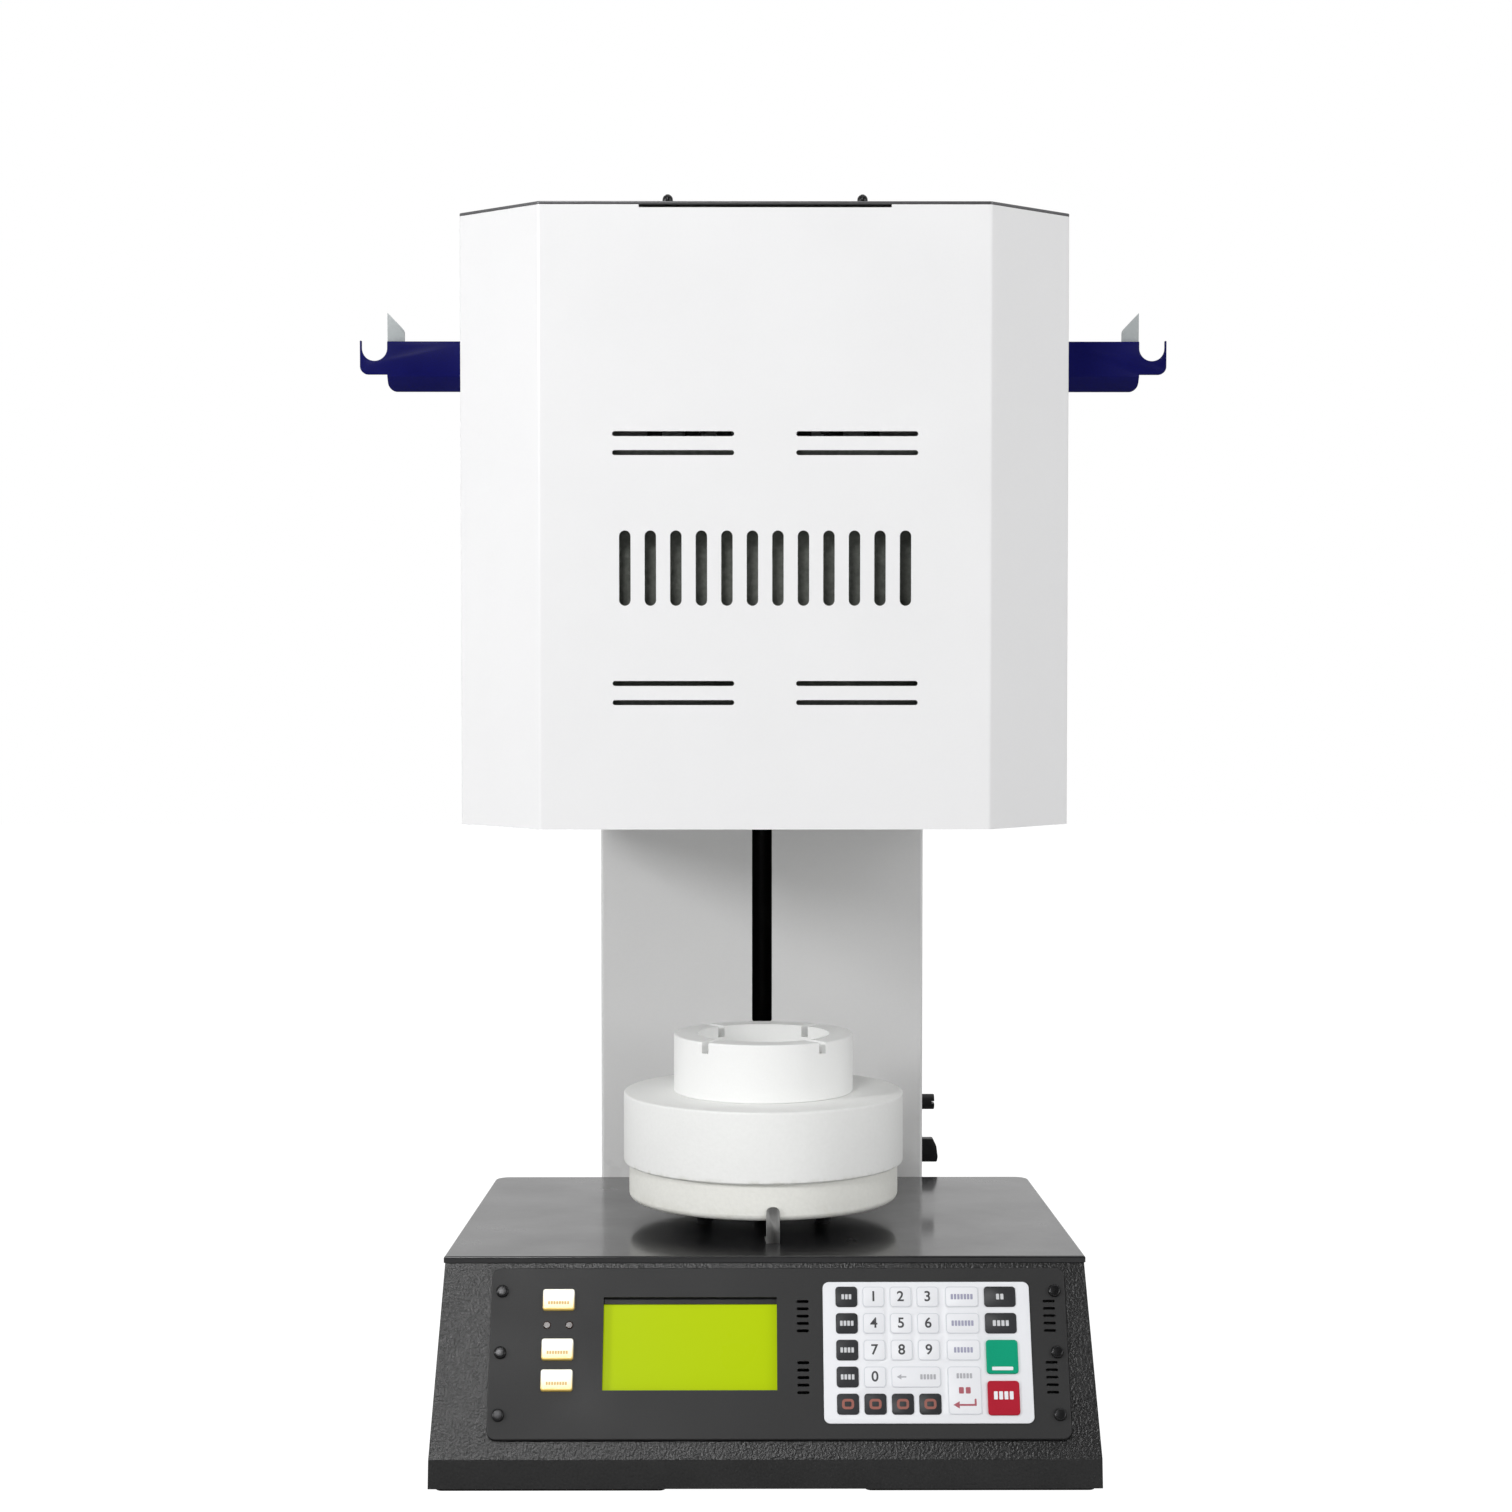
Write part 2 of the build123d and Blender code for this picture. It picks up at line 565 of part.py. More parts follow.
# Base lid: a flat glossy lid with a turned-down rim, a little proud of the shell
LID_FRONT_Y = FRONT_Y + SLOPE_RUN * (SHELL_TOP - BAND_TOP) / (BASE_TOP - BAND_TOP)
LID_REAR_Y = BASE_REAR_Y - LID_OVERHANG
with BuildPart() as base_lid:
    with BuildSketch(Plane.XY.offset(SHELL_TOP)) as lid_plan:
        Polygon(*base_outline(LID_FRONT_Y, LID_REAR_Y, SHELL_TOP, -LID_OVERHANG), align=None)
        fillet(lid_plan.vertices().group_by(Axis.Y)[-1], BASE_REAR_CORNER)
    extrude(amount=LID_RIM)
    fillet(base_lid.faces().sort_by(Axis.Z)[-1].edges(), LID_RIM * 0.3)
    with BuildSketch(Plane.XY.offset(SHELL_TOP)):
        Polygon(*base_outline(LID_FRONT_Y, LID_REAR_Y, SHELL_TOP, BASE_REAR_CORNER / 2), align=None)
    extrude(amount=LID_RIM - PLATE, mode=Mode.SUBTRACT)

# Chassis plate under the base and the column, with the pillars of the control board
BOARD_X, BOARD_Y = BOARD_PLACE[0], AXIS_Y + BOARD_PLACE[1]
with BuildPart() as chassis_plate:
    with BuildSketch(Plane.XY.offset(FOOT_HEIGHT)) as chassis_plan:
        Polygon(*base_outline(FRONT_Y, BASE_REAR_Y, BASE_TOP, SHEET), align=None)
        fillet(chassis_plan.vertices().group_by(Axis.Y)[-1], BASE_REAR_CORNER)
        with Locations((0, (BASE_REAR_Y + REAR_Y - FOOT_LENGTH) / 2)):
            Rectangle(COLUMN_WIDTH, COLUMN_DEPTH + FOOT_LENGTH)
    extrude(amount=PLATE)
    with Locations((BOARD_X, BOARD_Y, CHASSIS_TOP)):
        with GridLocations(BOARD[0] - 2 * PILLAR_INSET, BOARD[1] - 2 * PILLAR_INSET, 2, 2):
            Cylinder(PILLAR_RADIUS, BOARD_HEIGHT, align=UP)

FRONT_FOOT_Y = FRONT_Y + FRONT_FOOT_BACK
MIDDLE_FOOT_Y = AXIS_Y + MIDDLE_FOOT_BEHIND
FRONT_FOOT_X = base_half(FRONT_FOOT_Y, SKIRT) - FOOT_INSET - FRONT_FOOT_LENGTH / 2
MIDDLE_FOOT_X = base_half(MIDDLE_FOOT_Y, SKIRT) - FOOT_INSET - BASE_REAR_CORNER - FOOT_LENGTH / 2
REAR_FOOT_X = HALF_COLUMN - FOOT_LENGTH / 2 - FOOT_INSET
with BuildPart() as base_feet:
    for x, y, length in (
        (FRONT_FOOT_X, FRONT_FOOT_Y, FRONT_FOOT_LENGTH),
        (MIDDLE_FOOT_X, MIDDLE_FOOT_Y, FOOT_LENGTH),
        (REAR_FOOT_X, REAR_Y - REAR_FOOT_AHEAD, FOOT_LENGTH),
    ):
        with BuildSketch(Plane.XY):
            with Locations((-x, y), (x, y)):
                RectangleRounded(length, FOOT_WIDTH, FOOT_WIDTH / 4)
        extrude(amount=FOOT_HEIGHT)

# Control panel plate on the slope
with BuildPart() as panel_plate:
    with BuildSketch(panel_plane()):
        RectangleRounded(PANEL_WIDTH, PANEL_HEIGHT, PANEL_CORNER)
    extrude(amount=PANEL_THICK)
    fillet(panel_plate.faces().sort_by(PANEL_UP)[-1].edges(), PANEL_THICK * 0.2)
    with BuildSketch(panel_plane()):
        with Locations((LCD_X, LCD_Y)):
            Rectangle(LCD_WIDTH, LCD_HEIGHT)
        with Locations(*[(BUTTON_X, y) for y in BUTTON_ROWS.values()]):
            RectangleRounded(BUTTON_WIDTH + 2 * GAP, BUTTON_HEIGHT + 2 * GAP, BUTTON_CORNER + GAP)
        with Locations((BUTTON_X - LED_SPREAD, LED_Y), (BUTTON_X + LED_SPREAD, LED_Y)):
            Circle(LED_RADIUS + RUN_FIT)
        with Locations(*PANEL_SCREWS):
            Circle(SCREW_RADIUS + RUN_FIT)
        with Locations(*PANEL_VENTS):
            SlotOverall(VENT_WIDTH, VENT_HEIGHT)
        with Locations((PAD_X, 0)):
            Rectangle(PAD_WIDTH - PAD_WINDOW_EDGE, PAD_HEIGHT - PAD_WINDOW_EDGE)
    extrude(amount=PANEL_THICK, mode=Mode.SUBTRACT)

# Six panel screws and the eight of the column's rear cover, all alike
SCREW_SIZES = (SCREW_HEAD_RADIUS, SCREW_HEAD_HEIGHT, SCREW_RADIUS, SCREW_LENGTH)
with BuildPart() as cover_screws:
    for x, y in PANEL_SCREWS:
        add(pan_screw(panel_plane(x, y, PANEL_THICK), *SCREW_SIZES))
    for x, z in COVER_SCREWS:
        add(pan_screw(Plane(origin=(x, REAR_Y, z), x_dir=(-1, 0, 0), z_dir=(0, 1, 0)), *SCREW_SIZES))

# Display: a dark frame behind the plate and the glass inside it
GLASS_HEIGHT = LCD_HEIGHT - LCD_TOP_STRIP
GLASS_Y = LCD_Y - LCD_TOP_STRIP / 2
with BuildPart() as lcd_module:
    with BuildSketch(panel_plane(LCD_X, LCD_Y)):
        Rectangle(LCD_FRAME_WIDTH, LCD_FRAME_HEIGHT)
    extrude(amount=-LCD_FRAME_THICK)
    with BuildSketch(panel_plane(LCD_X, GLASS_Y)):
        Rectangle(LCD_WIDTH, GLASS_HEIGHT)
    extrude(amount=-LCD_RECESS - LCD_GLASS, mode=Mode.SUBTRACT)

with BuildPart() as lcd_window:
    with BuildSketch(panel_plane(LCD_X, GLASS_Y, -LCD_RECESS)):
        Rectangle(LCD_WIDTH - 2 * SEAT_FIT, GLASS_HEIGHT - 2 * SEAT_FIT)
    extrude(amount=-LCD_GLASS)

with BuildPart() as panel_leds:
    with BuildSketch(panel_plane(BUTTON_X, LED_Y, PANEL_THICK + LED_PROUD)):
        with Locations((-LED_SPREAD, 0), (LED_SPREAD, 0)):
            Circle(LED_RADIUS)
    extrude(amount=-PANEL_THICK - LED_DEEP)
    fillet(panel_leds.faces().group_by(PANEL_UP)[-1].edges(), LED_PROUD)


# Lit push buttons, each in its housing behind the plate
def button_cap(y):
    """Cap of one push button at rest."""
    with BuildPart() as cap:
        with BuildSketch(panel_plane(BUTTON_X, y, PANEL_THICK + BUTTON_PROUD)):
            RectangleRounded(BUTTON_WIDTH, BUTTON_HEIGHT, BUTTON_CORNER)
        extrude(amount=-PANEL_THICK - BUTTON_PROUD - BUTTON_DEEP)
        fillet(cap.faces().sort_by(PANEL_UP)[-1].edges(), BUTTON_CORNER * 0.5)
    return cap


with BuildPart() as push_button_housings:
    for y in BUTTON_ROWS.values():
        with BuildSketch(panel_plane(BUTTON_X, y)):
            Rectangle(BUTTON_WIDTH + 2 * (GAP + HOUSING_WALL), BUTTON_HEIGHT + 2 * (GAP + HOUSING_WALL))
        extrude(amount=-HOUSING_DEPTH)
        with BuildSketch(panel_plane(BUTTON_X, y)):
            RectangleRounded(BUTTON_WIDTH + 2 * GAP, BUTTON_HEIGHT + 2 * GAP, BUTTON_CORNER + GAP)
        extrude(amount=-BUTTON_DEEP - BUTTON_TRAVEL - GAP, mode=Mode.SUBTRACT)

# Membrane keypad: one sheet with raised light keys, and the coloured keys on it
with BuildPart() as keypad_membrane:
    with BuildSketch(panel_plane(PAD_X, 0, PANEL_THICK)):
        RectangleRounded(PAD_WIDTH, PAD_HEIGHT, PAD_CORNER)
    extrude(amount=PAD_THICK)
    with BuildSketch(panel_plane(PAD_X, 0, PANEL_THICK + PAD_THICK)):
        with Locations(*DIGIT_KEYS):
            RectangleRounded(KEY_WIDTH, KEY_HEIGHT, KEY_CORNER)
        with Locations(*[(TEXT_COLUMN_X, y) for y in KEY_ROWS[:3]]):
            RectangleRounded(TEXT_KEY_WIDTH, KEY_HEIGHT, KEY_CORNER)
        with Locations(((DIGIT_COLUMNS[1] + DIGIT_COLUMNS[2]) / 2, KEY_ROWS[3])):
            RectangleRounded(KEY_WIDTH + KEY_PITCH, KEY_HEIGHT, KEY_CORNER)
        with Locations((TEXT_COLUMN_X, (KEY_ROWS[3] + KEY_ROWS[4]) / 2)):
            RectangleRounded(TEXT_KEY_WIDTH, KEY_HEIGHT + KEY_PITCH, KEY_CORNER)
    extrude(amount=KEY_RISE)

with BuildPart() as keypad_dark_keys:
    with BuildSketch(panel_plane(PAD_X, 0, PANEL_THICK + PAD_THICK)):
        with Locations(*[(DARK_COLUMN_X, y) for y in KEY_ROWS], *[(x, KEY_ROWS[4]) for x in DIGIT_COLUMNS]):
            RectangleRounded(KEY_WIDTH, KEY_HEIGHT, KEY_CORNER)
        with Locations(*[(RIGHT_COLUMN_X, y) for y in KEY_ROWS[:2]]):
            RectangleRounded(BIG_KEY_WIDTH, KEY_HEIGHT, KEY_CORNER)
    extrude(amount=KEY_RISE)


def big_key(y):
    """Tall coloured key in the right-hand column."""
    with BuildPart() as key:
        with BuildSketch(panel_plane(PAD_X + RIGHT_COLUMN_X, y, PANEL_THICK + PAD_THICK)):
            RectangleRounded(BIG_KEY_WIDTH, BIG_KEY_HEIGHT, KEY_CORNER)
        extrude(amount=BIG_KEY_RISE)
        fillet(key.faces().sort_by(PANEL_UP)[-1].edges(), BIG_KEY_RISE * 0.4)
    return key


keypad_green_key = big_key(GREEN_KEY_Y)
keypad_red_key = big_key(RED_KEY_Y)

# Electrics in the base
with BuildPart() as control_board:
    with Locations((BOARD_X, BOARD_Y, BOARD_Z)):
        Box(*BOARD, align=UP)
    with Locations((BOARD_X - BOARD[0] * 0.3, BOARD_Y, BOARD_Z + BOARD[2])):
        Box(BOARD[0] * 0.2, BOARD[1] * 0.35, BOARD_HEIGHT, align=UP)
    with Locations((BOARD_X + BOARD[0] * 0.1, BOARD_Y + BOARD[1] * 0.2, BOARD_Z + BOARD[2])):
        Box(BOARD[0] * 0.12, BOARD[0] * 0.12, PLATE, align=UP)
    with Locations((BOARD_X + BOARD[0] * 0.15, BOARD_Y - BOARD[1] * 0.3, BOARD_Z + BOARD[2])):
        with GridLocations(BOARD[0] * 0.09, BOARD[1], 4, 1):
            Cylinder(BOARD[1] * 0.05, BOARD_HEIGHT, align=UP)

with BuildPart() as power_transformer:
    core_width, core_depth, core_height = TRANSFORMER
    with Locations((TRANSFORMER_PLACE[0], AXIS_Y + TRANSFORMER_PLACE[1], CHASSIS_TOP)):
        Box(core_width, core_depth * 0.5, core_height, align=UP)
        Box(core_width + 2 * COIL_BULGE, core_depth * 0.5, PLATE, align=UP)
        with Locations((0, 0, core_height * 0.2)):
            Box(core_width * 0.5, core_depth * 0.5 + 2 * COIL_BULGE, core_height * 0.6, align=UP)

with BuildPart() as power_controller:
    relay_width, relay_depth, relay_height = RELAY
    with Locations((RELAY_PLACE[0], AXIS_Y + RELAY_PLACE[1], CHASSIS_TOP)):
        Box(relay_width, relay_depth, RELAY_BASE, align=UP)
        with GridLocations((relay_width - RELAY_FIN_THICK) / (RELAY_FINS - 1), relay_depth, RELAY_FINS, 1):
            Box(RELAY_FIN_THICK, relay_depth, relay_height, align=UP)

FAN_PLANE = Plane(
    origin=(FAN_X, BASE_REAR_Y - SHEET - FAN_DEPTH, FAN_Z), x_dir=(-1, 0, 0), z_dir=(0, 1, 0),
)
FAN_SPINDLE = FAN_DEPTH * 0.7
with BuildPart() as fan_frame:
    with BuildSketch(FAN_PLANE):
        RectangleRounded(FAN_SIZE, FAN_SIZE, FAN_STRUT)
        Circle(FAN_BORE, mode=Mode.SUBTRACT)
    extrude(amount=FAN_DEPTH)
    with BuildSketch(FAN_PLANE):
        Rectangle(2 * FAN_BORE + FAN_STRUT, FAN_STRUT)
        Rectangle(FAN_STRUT, 2 * FAN_BORE + FAN_STRUT)
        Circle(FAN_HUB)
    extrude(amount=FAN_STRUT)
    with BuildSketch(FAN_PLANE):
        Circle(FAN_STRUT)
    extrude(amount=FAN_SPINDLE)

with BuildPart() as fan_rotor:
    blade_root = FAN_HUB - FAN_STRUT / 2
    blade_tip = FAN_BORE - FAN_BLADE_GAP
    with BuildSketch(FAN_PLANE.offset(FAN_STRUT + GAP)):
        Circle(FAN_HUB)
        with PolarLocations((blade_root + blade_tip) / 2, FAN_BLADES):
            Rectangle(blade_tip - blade_root, FAN_STRUT / 2)
    extrude(amount=FAN_DEPTH - 2 * FAN_STRUT)
    with BuildSketch(FAN_PLANE.offset(FAN_STRUT)):
        Circle(FAN_STRUT + RUN_FIT)
    extrude(amount=FAN_SPINDLE - FAN_STRUT + GAP, mode=Mode.SUBTRACT)

# Pedestal: a welded steel stand, two fibre discs, three spring clips and the crucible
with BuildPart() as pedestal_stand:
    with Locations((0, AXIS_Y, LOWER_DISC_Z)):
        Cylinder(STAND_RADIUS, STAND_PLATE, align=DOWN)
        with PolarLocations(POST_CIRCLE_RADIUS, 3, start_angle=90):
            Cylinder(POST_RADIUS, STAND_HEIGHT, align=DOWN)

with BuildPart() as pedestal_lower_disc:
    with Locations((0, AXIS_Y, LOWER_DISC_Z)):
        Cylinder(LOWER_DISC_RADIUS, LOWER_DISC_HEIGHT, align=UP)
    fillet(pedestal_lower_disc.faces().sort_by(Axis.Z)[0].edges(), LOWER_DISC_EDGE)

with BuildPart() as pedestal_upper_disc:
    with Locations((0, AXIS_Y, UPPER_DISC_Z)):
        Cylinder(UPPER_DISC_RADIUS, UPPER_DISC_HEIGHT, align=UP)
    fillet(pedestal_upper_disc.edges().filter_by(GeomType.CIRCLE), DISC_EDGE)

with BuildPart() as crucible:
    with Locations((0, AXIS_Y, CRUCIBLE_Z)):
        Cylinder(CRUCIBLE_RADIUS, CRUCIBLE_HEIGHT, align=UP)
    fillet(crucible.edges().filter_by(GeomType.CIRCLE), CRUCIBLE_EDGE)
    with Locations((0, AXIS_Y, CRUCIBLE_Z + CRUCIBLE_FLOOR)):
        Cylinder(CRUCIBLE_RADIUS - CRUCIBLE_WALL, CRUCIBLE_HEIGHT, align=UP, mode=Mode.SUBTRACT)
    with BuildSketch(Plane(origin=(0, AXIS_Y, CRUCIBLE_Z + CRUCIBLE_HEIGHT), z_dir=(0, 0, 1))):
        for turn in (90 - NOTCH_ANGLE, 90 + NOTCH_ANGLE):
            Rectangle(3 * CRUCIBLE_RADIUS, NOTCH_WIDTH, rotation=turn)
    extrude(amount=-NOTCH_DEPTH, mode=Mode.SUBTRACT)

with BuildPart() as pedestal_clips:
    for turn in (270 + CLIP_TURN, 90 - CLIP_REAR_TURN, 90 + CLIP_REAR_TURN):
        outward = (math.cos(math.radians(turn)), math.sin(math.radians(turn)), 0)
        tangent = (-outward[1], outward[0], 0)
        clip_foot = around(LOWER_DISC_RADIUS + GAP, turn, BASE_TOP)
        clip_face = Plane(origin=clip_foot, x_dir=tangent, z_dir=outward)
        with BuildSketch(clip_face):
            with Locations((0, CLIP_HEIGHT / 2)):
                Rectangle(CLIP_WIDTH, CLIP_HEIGHT)
        extrude(amount=CLIP_THICK)
        with BuildSketch(clip_face):
            with Locations((0, CLIP_THICK / 2)):
                Rectangle(CLIP_WIDTH, CLIP_THICK)
        extrude(amount=-CLIP_FOOT)
    clip_tops = pedestal_clips.faces().group_by(Axis.Z)[-1]
    clip_corners = clip_tops.edges().filter_by(lambda edge: abs(edge.length - CLIP_THICK) < RUN_FIT)
    fillet(clip_corners, CLIP_WIDTH * 0.4)

# Column shell: front with the slot, two sides and the rear flanges
FRONT_LOW = (Align.CENTER, Align.MIN, Align.MIN)
COLUMN_TALL = COLUMN_TOP - CHASSIS_TOP
with BuildPart() as column_shell:
    with Locations((0, COLUMN_Y, CHASSIS_TOP)):
        Box(COLUMN_WIDTH, COLUMN_DEPTH - COLUMN_SHEET, COLUMN_TALL, align=FRONT_LOW)
    fillet(column_shell.edges().filter_by(Axis.Z).group_by(Axis.Y)[0], COLUMN_SHEET)
    with Locations((0, COLUMN_Y + COLUMN_SHEET, CHASSIS_TOP)):
        Box(
            COLUMN_WIDTH - 2 * COLUMN_SHEET, COLUMN_DEPTH - 3 * COLUMN_SHEET, COLUMN_TALL,
            align=FRONT_LOW, mode=Mode.SUBTRACT,
        )
        Box(
            COLUMN_WIDTH - 2 * (COLUMN_SHEET + COLUMN_FLANGE), COLUMN_DEPTH, COLUMN_TALL,
            align=FRONT_LOW, mode=Mode.SUBTRACT,
        )
    with BuildSketch(Plane.XZ.offset(-COLUMN_Y)):
        with Locations((0, (SLOT_LOW + SLOT_HIGH) / 2)):
            RectangleRounded(SLOT_WIDTH, SLOT_HIGH - SLOT_LOW, SLOT_CORNER)
        with Locations((0, CABLE_WINDOW_Z)):
            Rectangle(*CABLE_WINDOW)
    extrude(amount=-2 * COLUMN_SHEET, mode=Mode.SUBTRACT)
    with BuildSketch(Plane.XZ.offset(-REAR_Y)):
        with Locations(*COVER_SCREWS):
            Circle(SCREW_RADIUS + RUN_FIT)
    extrude(amount=3 * COLUMN_SHEET, mode=Mode.SUBTRACT)
    with BuildSketch(Plane.YZ.offset(HALF_COLUMN)):
        with Locations((SWITCH_Y, SWITCH_Z)):
            Rectangle(SWITCH_BODY[0] + 2 * SEAT_FIT, SWITCH_BODY[1] + 2 * SEAT_FIT)
        with Locations((SWITCH_Y, FUSE_Z)):
            Circle(FUSE_BODY_RADIUS + SEAT_FIT)
    extrude(amount=-2 * COLUMN_SHEET, mode=Mode.SUBTRACT)

with BuildPart() as column_rear_cover:
    with Locations((0, REAR_Y - COLUMN_SHEET, CHASSIS_TOP)):
        Box(COLUMN_WIDTH, COLUMN_SHEET, COLUMN_TALL, align=FRONT_LOW)
    with BuildSketch(Plane.XZ.offset(-REAR_Y)):
        for middle in (COVER_VENT_LOW, COVER_VENT_HIGH):
            with Locations(*[(0, middle + step) for step in ladder(COVER_VENT_COUNT, COVER_VENT_PITCH)]):
                SlotOverall(*COVER_VENT)
        with Locations(*COVER_SCREWS):
            Circle(SCREW_RADIUS + RUN_FIT)
        with Locations((0, INLET_Z)):
            Rectangle(INLET_BODY[0] + 2 * SEAT_FIT, INLET_BODY[1] + 2 * SEAT_FIT)
    extrude(amount=2 * COLUMN_SHEET, mode=Mode.SUBTRACT)

LIP_DEPTH = COLUMN_DEPTH - 3 * COLUMN_SHEET - 2 * GAP
LIP_WIDTH = COLUMN_WIDTH - 2 * (COLUMN_SHEET + GAP)
with BuildPart() as column_cap:
    with Locations((0, COLUMN_Y, COLUMN_TOP)):
        Box(COLUMN_WIDTH, COLUMN_DEPTH, PLATE, align=FRONT_LOW)
    fillet(column_cap.edges().filter_by(Axis.Z), COLUMN_SHEET)
    with BuildSketch(Plane.XY.offset(COLUMN_TOP)):
        with Locations((0, COLUMN_Y + COLUMN_SHEET + GAP + LIP_DEPTH / 2)):
            Rectangle(LIP_WIDTH, LIP_DEPTH)
            Rectangle(LIP_WIDTH - 2 * COLUMN_SHEET, LIP_DEPTH - 2 * COLUMN_SHEET, mode=Mode.SUBTRACT)
    extrude(amount=-CAP_LIP)

# Lift: two end plates, two rods, the screw that is also the motor's shaft, and the carriage
ROD_SPAN = ROD_PLATE_HIGH + ROD_PLATE_THICK - ROD_PLATE_LOW
ROD_PLACES = [(side * ROD_SPREAD, LIFT_Y) for side in (-1, 1)]
with BuildPart() as rod_plates:
    for z in (ROD_PLATE_LOW, ROD_PLATE_HIGH):
        with BuildSketch(Plane.XY.offset(z)):
            with Locations((0, COLUMN_Y + COLUMN_SHEET + ROD_PLATE_DEPTH / 2)):
                Rectangle(COLUMN_WIDTH - 2 * COLUMN_SHEET, ROD_PLATE_DEPTH)
            with Locations(*ROD_PLACES):
                Circle(ROD_RADIUS + SEAT_FIT, mode=Mode.SUBTRACT)
            with Locations((0, LIFT_Y)):
                Circle(JOURNAL_RADIUS + RUN_FIT, mode=Mode.SUBTRACT)
        extrude(amount=ROD_PLATE_THICK)

with BuildPart() as guide_rods:
    with BuildSketch(Plane.XY.offset(ROD_PLATE_LOW)):
        with Locations(*ROD_PLACES):
            Circle(ROD_RADIUS)
    extrude(amount=ROD_SPAN)

with BuildPart() as lead_screw:
    with Locations((0, LIFT_Y, ROD_PLATE_LOW + ROD_PLATE_THICK + GAP)):
        Cylinder(LEAD_SCREW_RADIUS, ROD_PLATE_HIGH - ROD_PLATE_LOW - ROD_PLATE_THICK - 2 * GAP, align=UP)
    with Locations((0, LIFT_Y, ROD_PLATE_LOW)):
        Cylinder(JOURNAL_RADIUS, ROD_SPAN, align=UP)
        Cylinder(MOTOR_SHAFT_RADIUS, MOTOR_SHAFT_DEEP, align=DOWN)

with BuildPart() as lift_motor:
    with Locations((0, LIFT_Y, ROD_PLATE_LOW)):
        Box(MOTOR_WIDTH, MOTOR_WIDTH, MOTOR_HEIGHT, align=DOWN)
    chamfer(lift_motor.edges().filter_by(Axis.Z), MOTOR_WIDTH * 0.1)
    with Locations((0, LIFT_Y, ROD_PLATE_LOW)):
        Cylinder(MOTOR_SHAFT_RADIUS + RUN_FIT, MOTOR_SHAFT_DEEP + GAP, align=DOWN, mode=Mode.SUBTRACT)

TONGUE_Y = LIFT_Y - BLOCK_DEPTH / 2
with BuildPart() as carriage_block:
    with Locations((0, LIFT_Y, BLOCK_LOW)):
        Box(BLOCK_WIDTH, BLOCK_DEPTH, BLOCK_HEIGHT, align=UP)
        Cylinder(BLOCK_BORE_RADIUS, BLOCK_HEIGHT, align=UP, mode=Mode.SUBTRACT)
        Cylinder(NUT_RADIUS + SEAT_FIT, NUT_LENGTH, align=UP, mode=Mode.SUBTRACT)
    with BuildSketch(Plane.XY.offset(BLOCK_LOW)):
        with Locations(*ROD_PLACES):
            Circle(BUSH_RADIUS + SEAT_FIT)
    extrude(amount=BLOCK_HEIGHT, mode=Mode.SUBTRACT)
    with Locations((0, TONGUE_Y, BLOCK_LOW)):
        Box(ARM_THICK + 2 * SEAT_FIT, ARM_TONGUE, BLOCK_HEIGHT, align=FRONT_LOW, mode=Mode.SUBTRACT)

with BuildPart() as carriage_bushings:
    for z in (BLOCK_LOW, BLOCK_TOP - BUSH_LENGTH):
        with BuildSketch(Plane.XY.offset(z)):
            with Locations(*ROD_PLACES):
                Circle(BUSH_RADIUS)
                Circle(ROD_RADIUS + RUN_FIT, mode=Mode.SUBTRACT)
        extrude(amount=BUSH_LENGTH)

with BuildPart() as lead_screw_nut:
    with Locations((0, LIFT_Y, BLOCK_LOW)):
        Cylinder(NUT_RADIUS, NUT_LENGTH, align=UP)
        Cylinder(NUT_FLANGE_RADIUS, NUT_FLANGE_THICK, align=DOWN)
        Cylinder(LEAD_SCREW_RADIUS + RUN_FIT, 3 * NUT_LENGTH, mode=Mode.SUBTRACT)

with BuildPart() as carriage_arm:
    with Locations((0, HEAD_REAR_Y, ARM_LOW)):
        Box(ARM_THICK, TONGUE_Y - HEAD_REAR_Y, ARM_HEIGHT, align=FRONT_LOW)
    with Locations((0, HEAD_REAR_Y, BLOCK_LOW)):
        Box(ARM_THICK, TONGUE_Y - HEAD_REAR_Y + ARM_TONGUE, BLOCK_HEIGHT, align=FRONT_LOW)
    with Locations((0, HEAD_REAR_Y, ARM_MIDDLE)):
        Box(*ARM_PLATE, align=(Align.CENTER, Align.MIN, Align.CENTER))
    with BuildSketch(Plane.XZ.offset(-HEAD_REAR_Y)):
        with Locations(*ARM_SCREWS):
            Circle(SCREW_RADIUS + RUN_FIT)
    extrude(amount=-ARM_PLATE[1], mode=Mode.SUBTRACT)

with BuildPart() as limit_sensors:
    with Locations(*[(COLUMN_SHEET - HALF_COLUMN, LIFT_Y, z) for z in (BLOCK_LOW - TRAVEL, BLOCK_TOP)]):
        Box(*SENSOR, align=(Align.MIN, Align.CENTER, Align.CENTER))

# Power switch, fuse holder and mains inlet
SWITCH_WALL_PLANE = Plane(origin=(HALF_COLUMN, SWITCH_Y, SWITCH_Z), x_dir=(0, 1, 0), z_dir=(1, 0, 0))
POCKET_WIDTH = SWITCH_BODY[0] - 2 * SWITCH_WALL
with BuildPart() as power_switch_housing:
    with BuildSketch(SWITCH_WALL_PLANE):
        RectangleRounded(*SWITCH_BEZEL, SWITCH_WALL)
    extrude(amount=SWITCH_BEZEL_THICK)
    with BuildSketch(SWITCH_WALL_PLANE):
        Rectangle(*SWITCH_BODY)
    extrude(amount=-SWITCH_BODY_DEEP)
    with BuildSketch(SWITCH_WALL_PLANE.offset(SWITCH_BEZEL_THICK)):
        Rectangle(POCKET_WIDTH, SWITCH_BODY[1] - 2 * SWITCH_WALL)
    extrude(amount=-SWITCH_BEZEL_THICK - ROCKER_POCKET, mode=Mode.SUBTRACT)

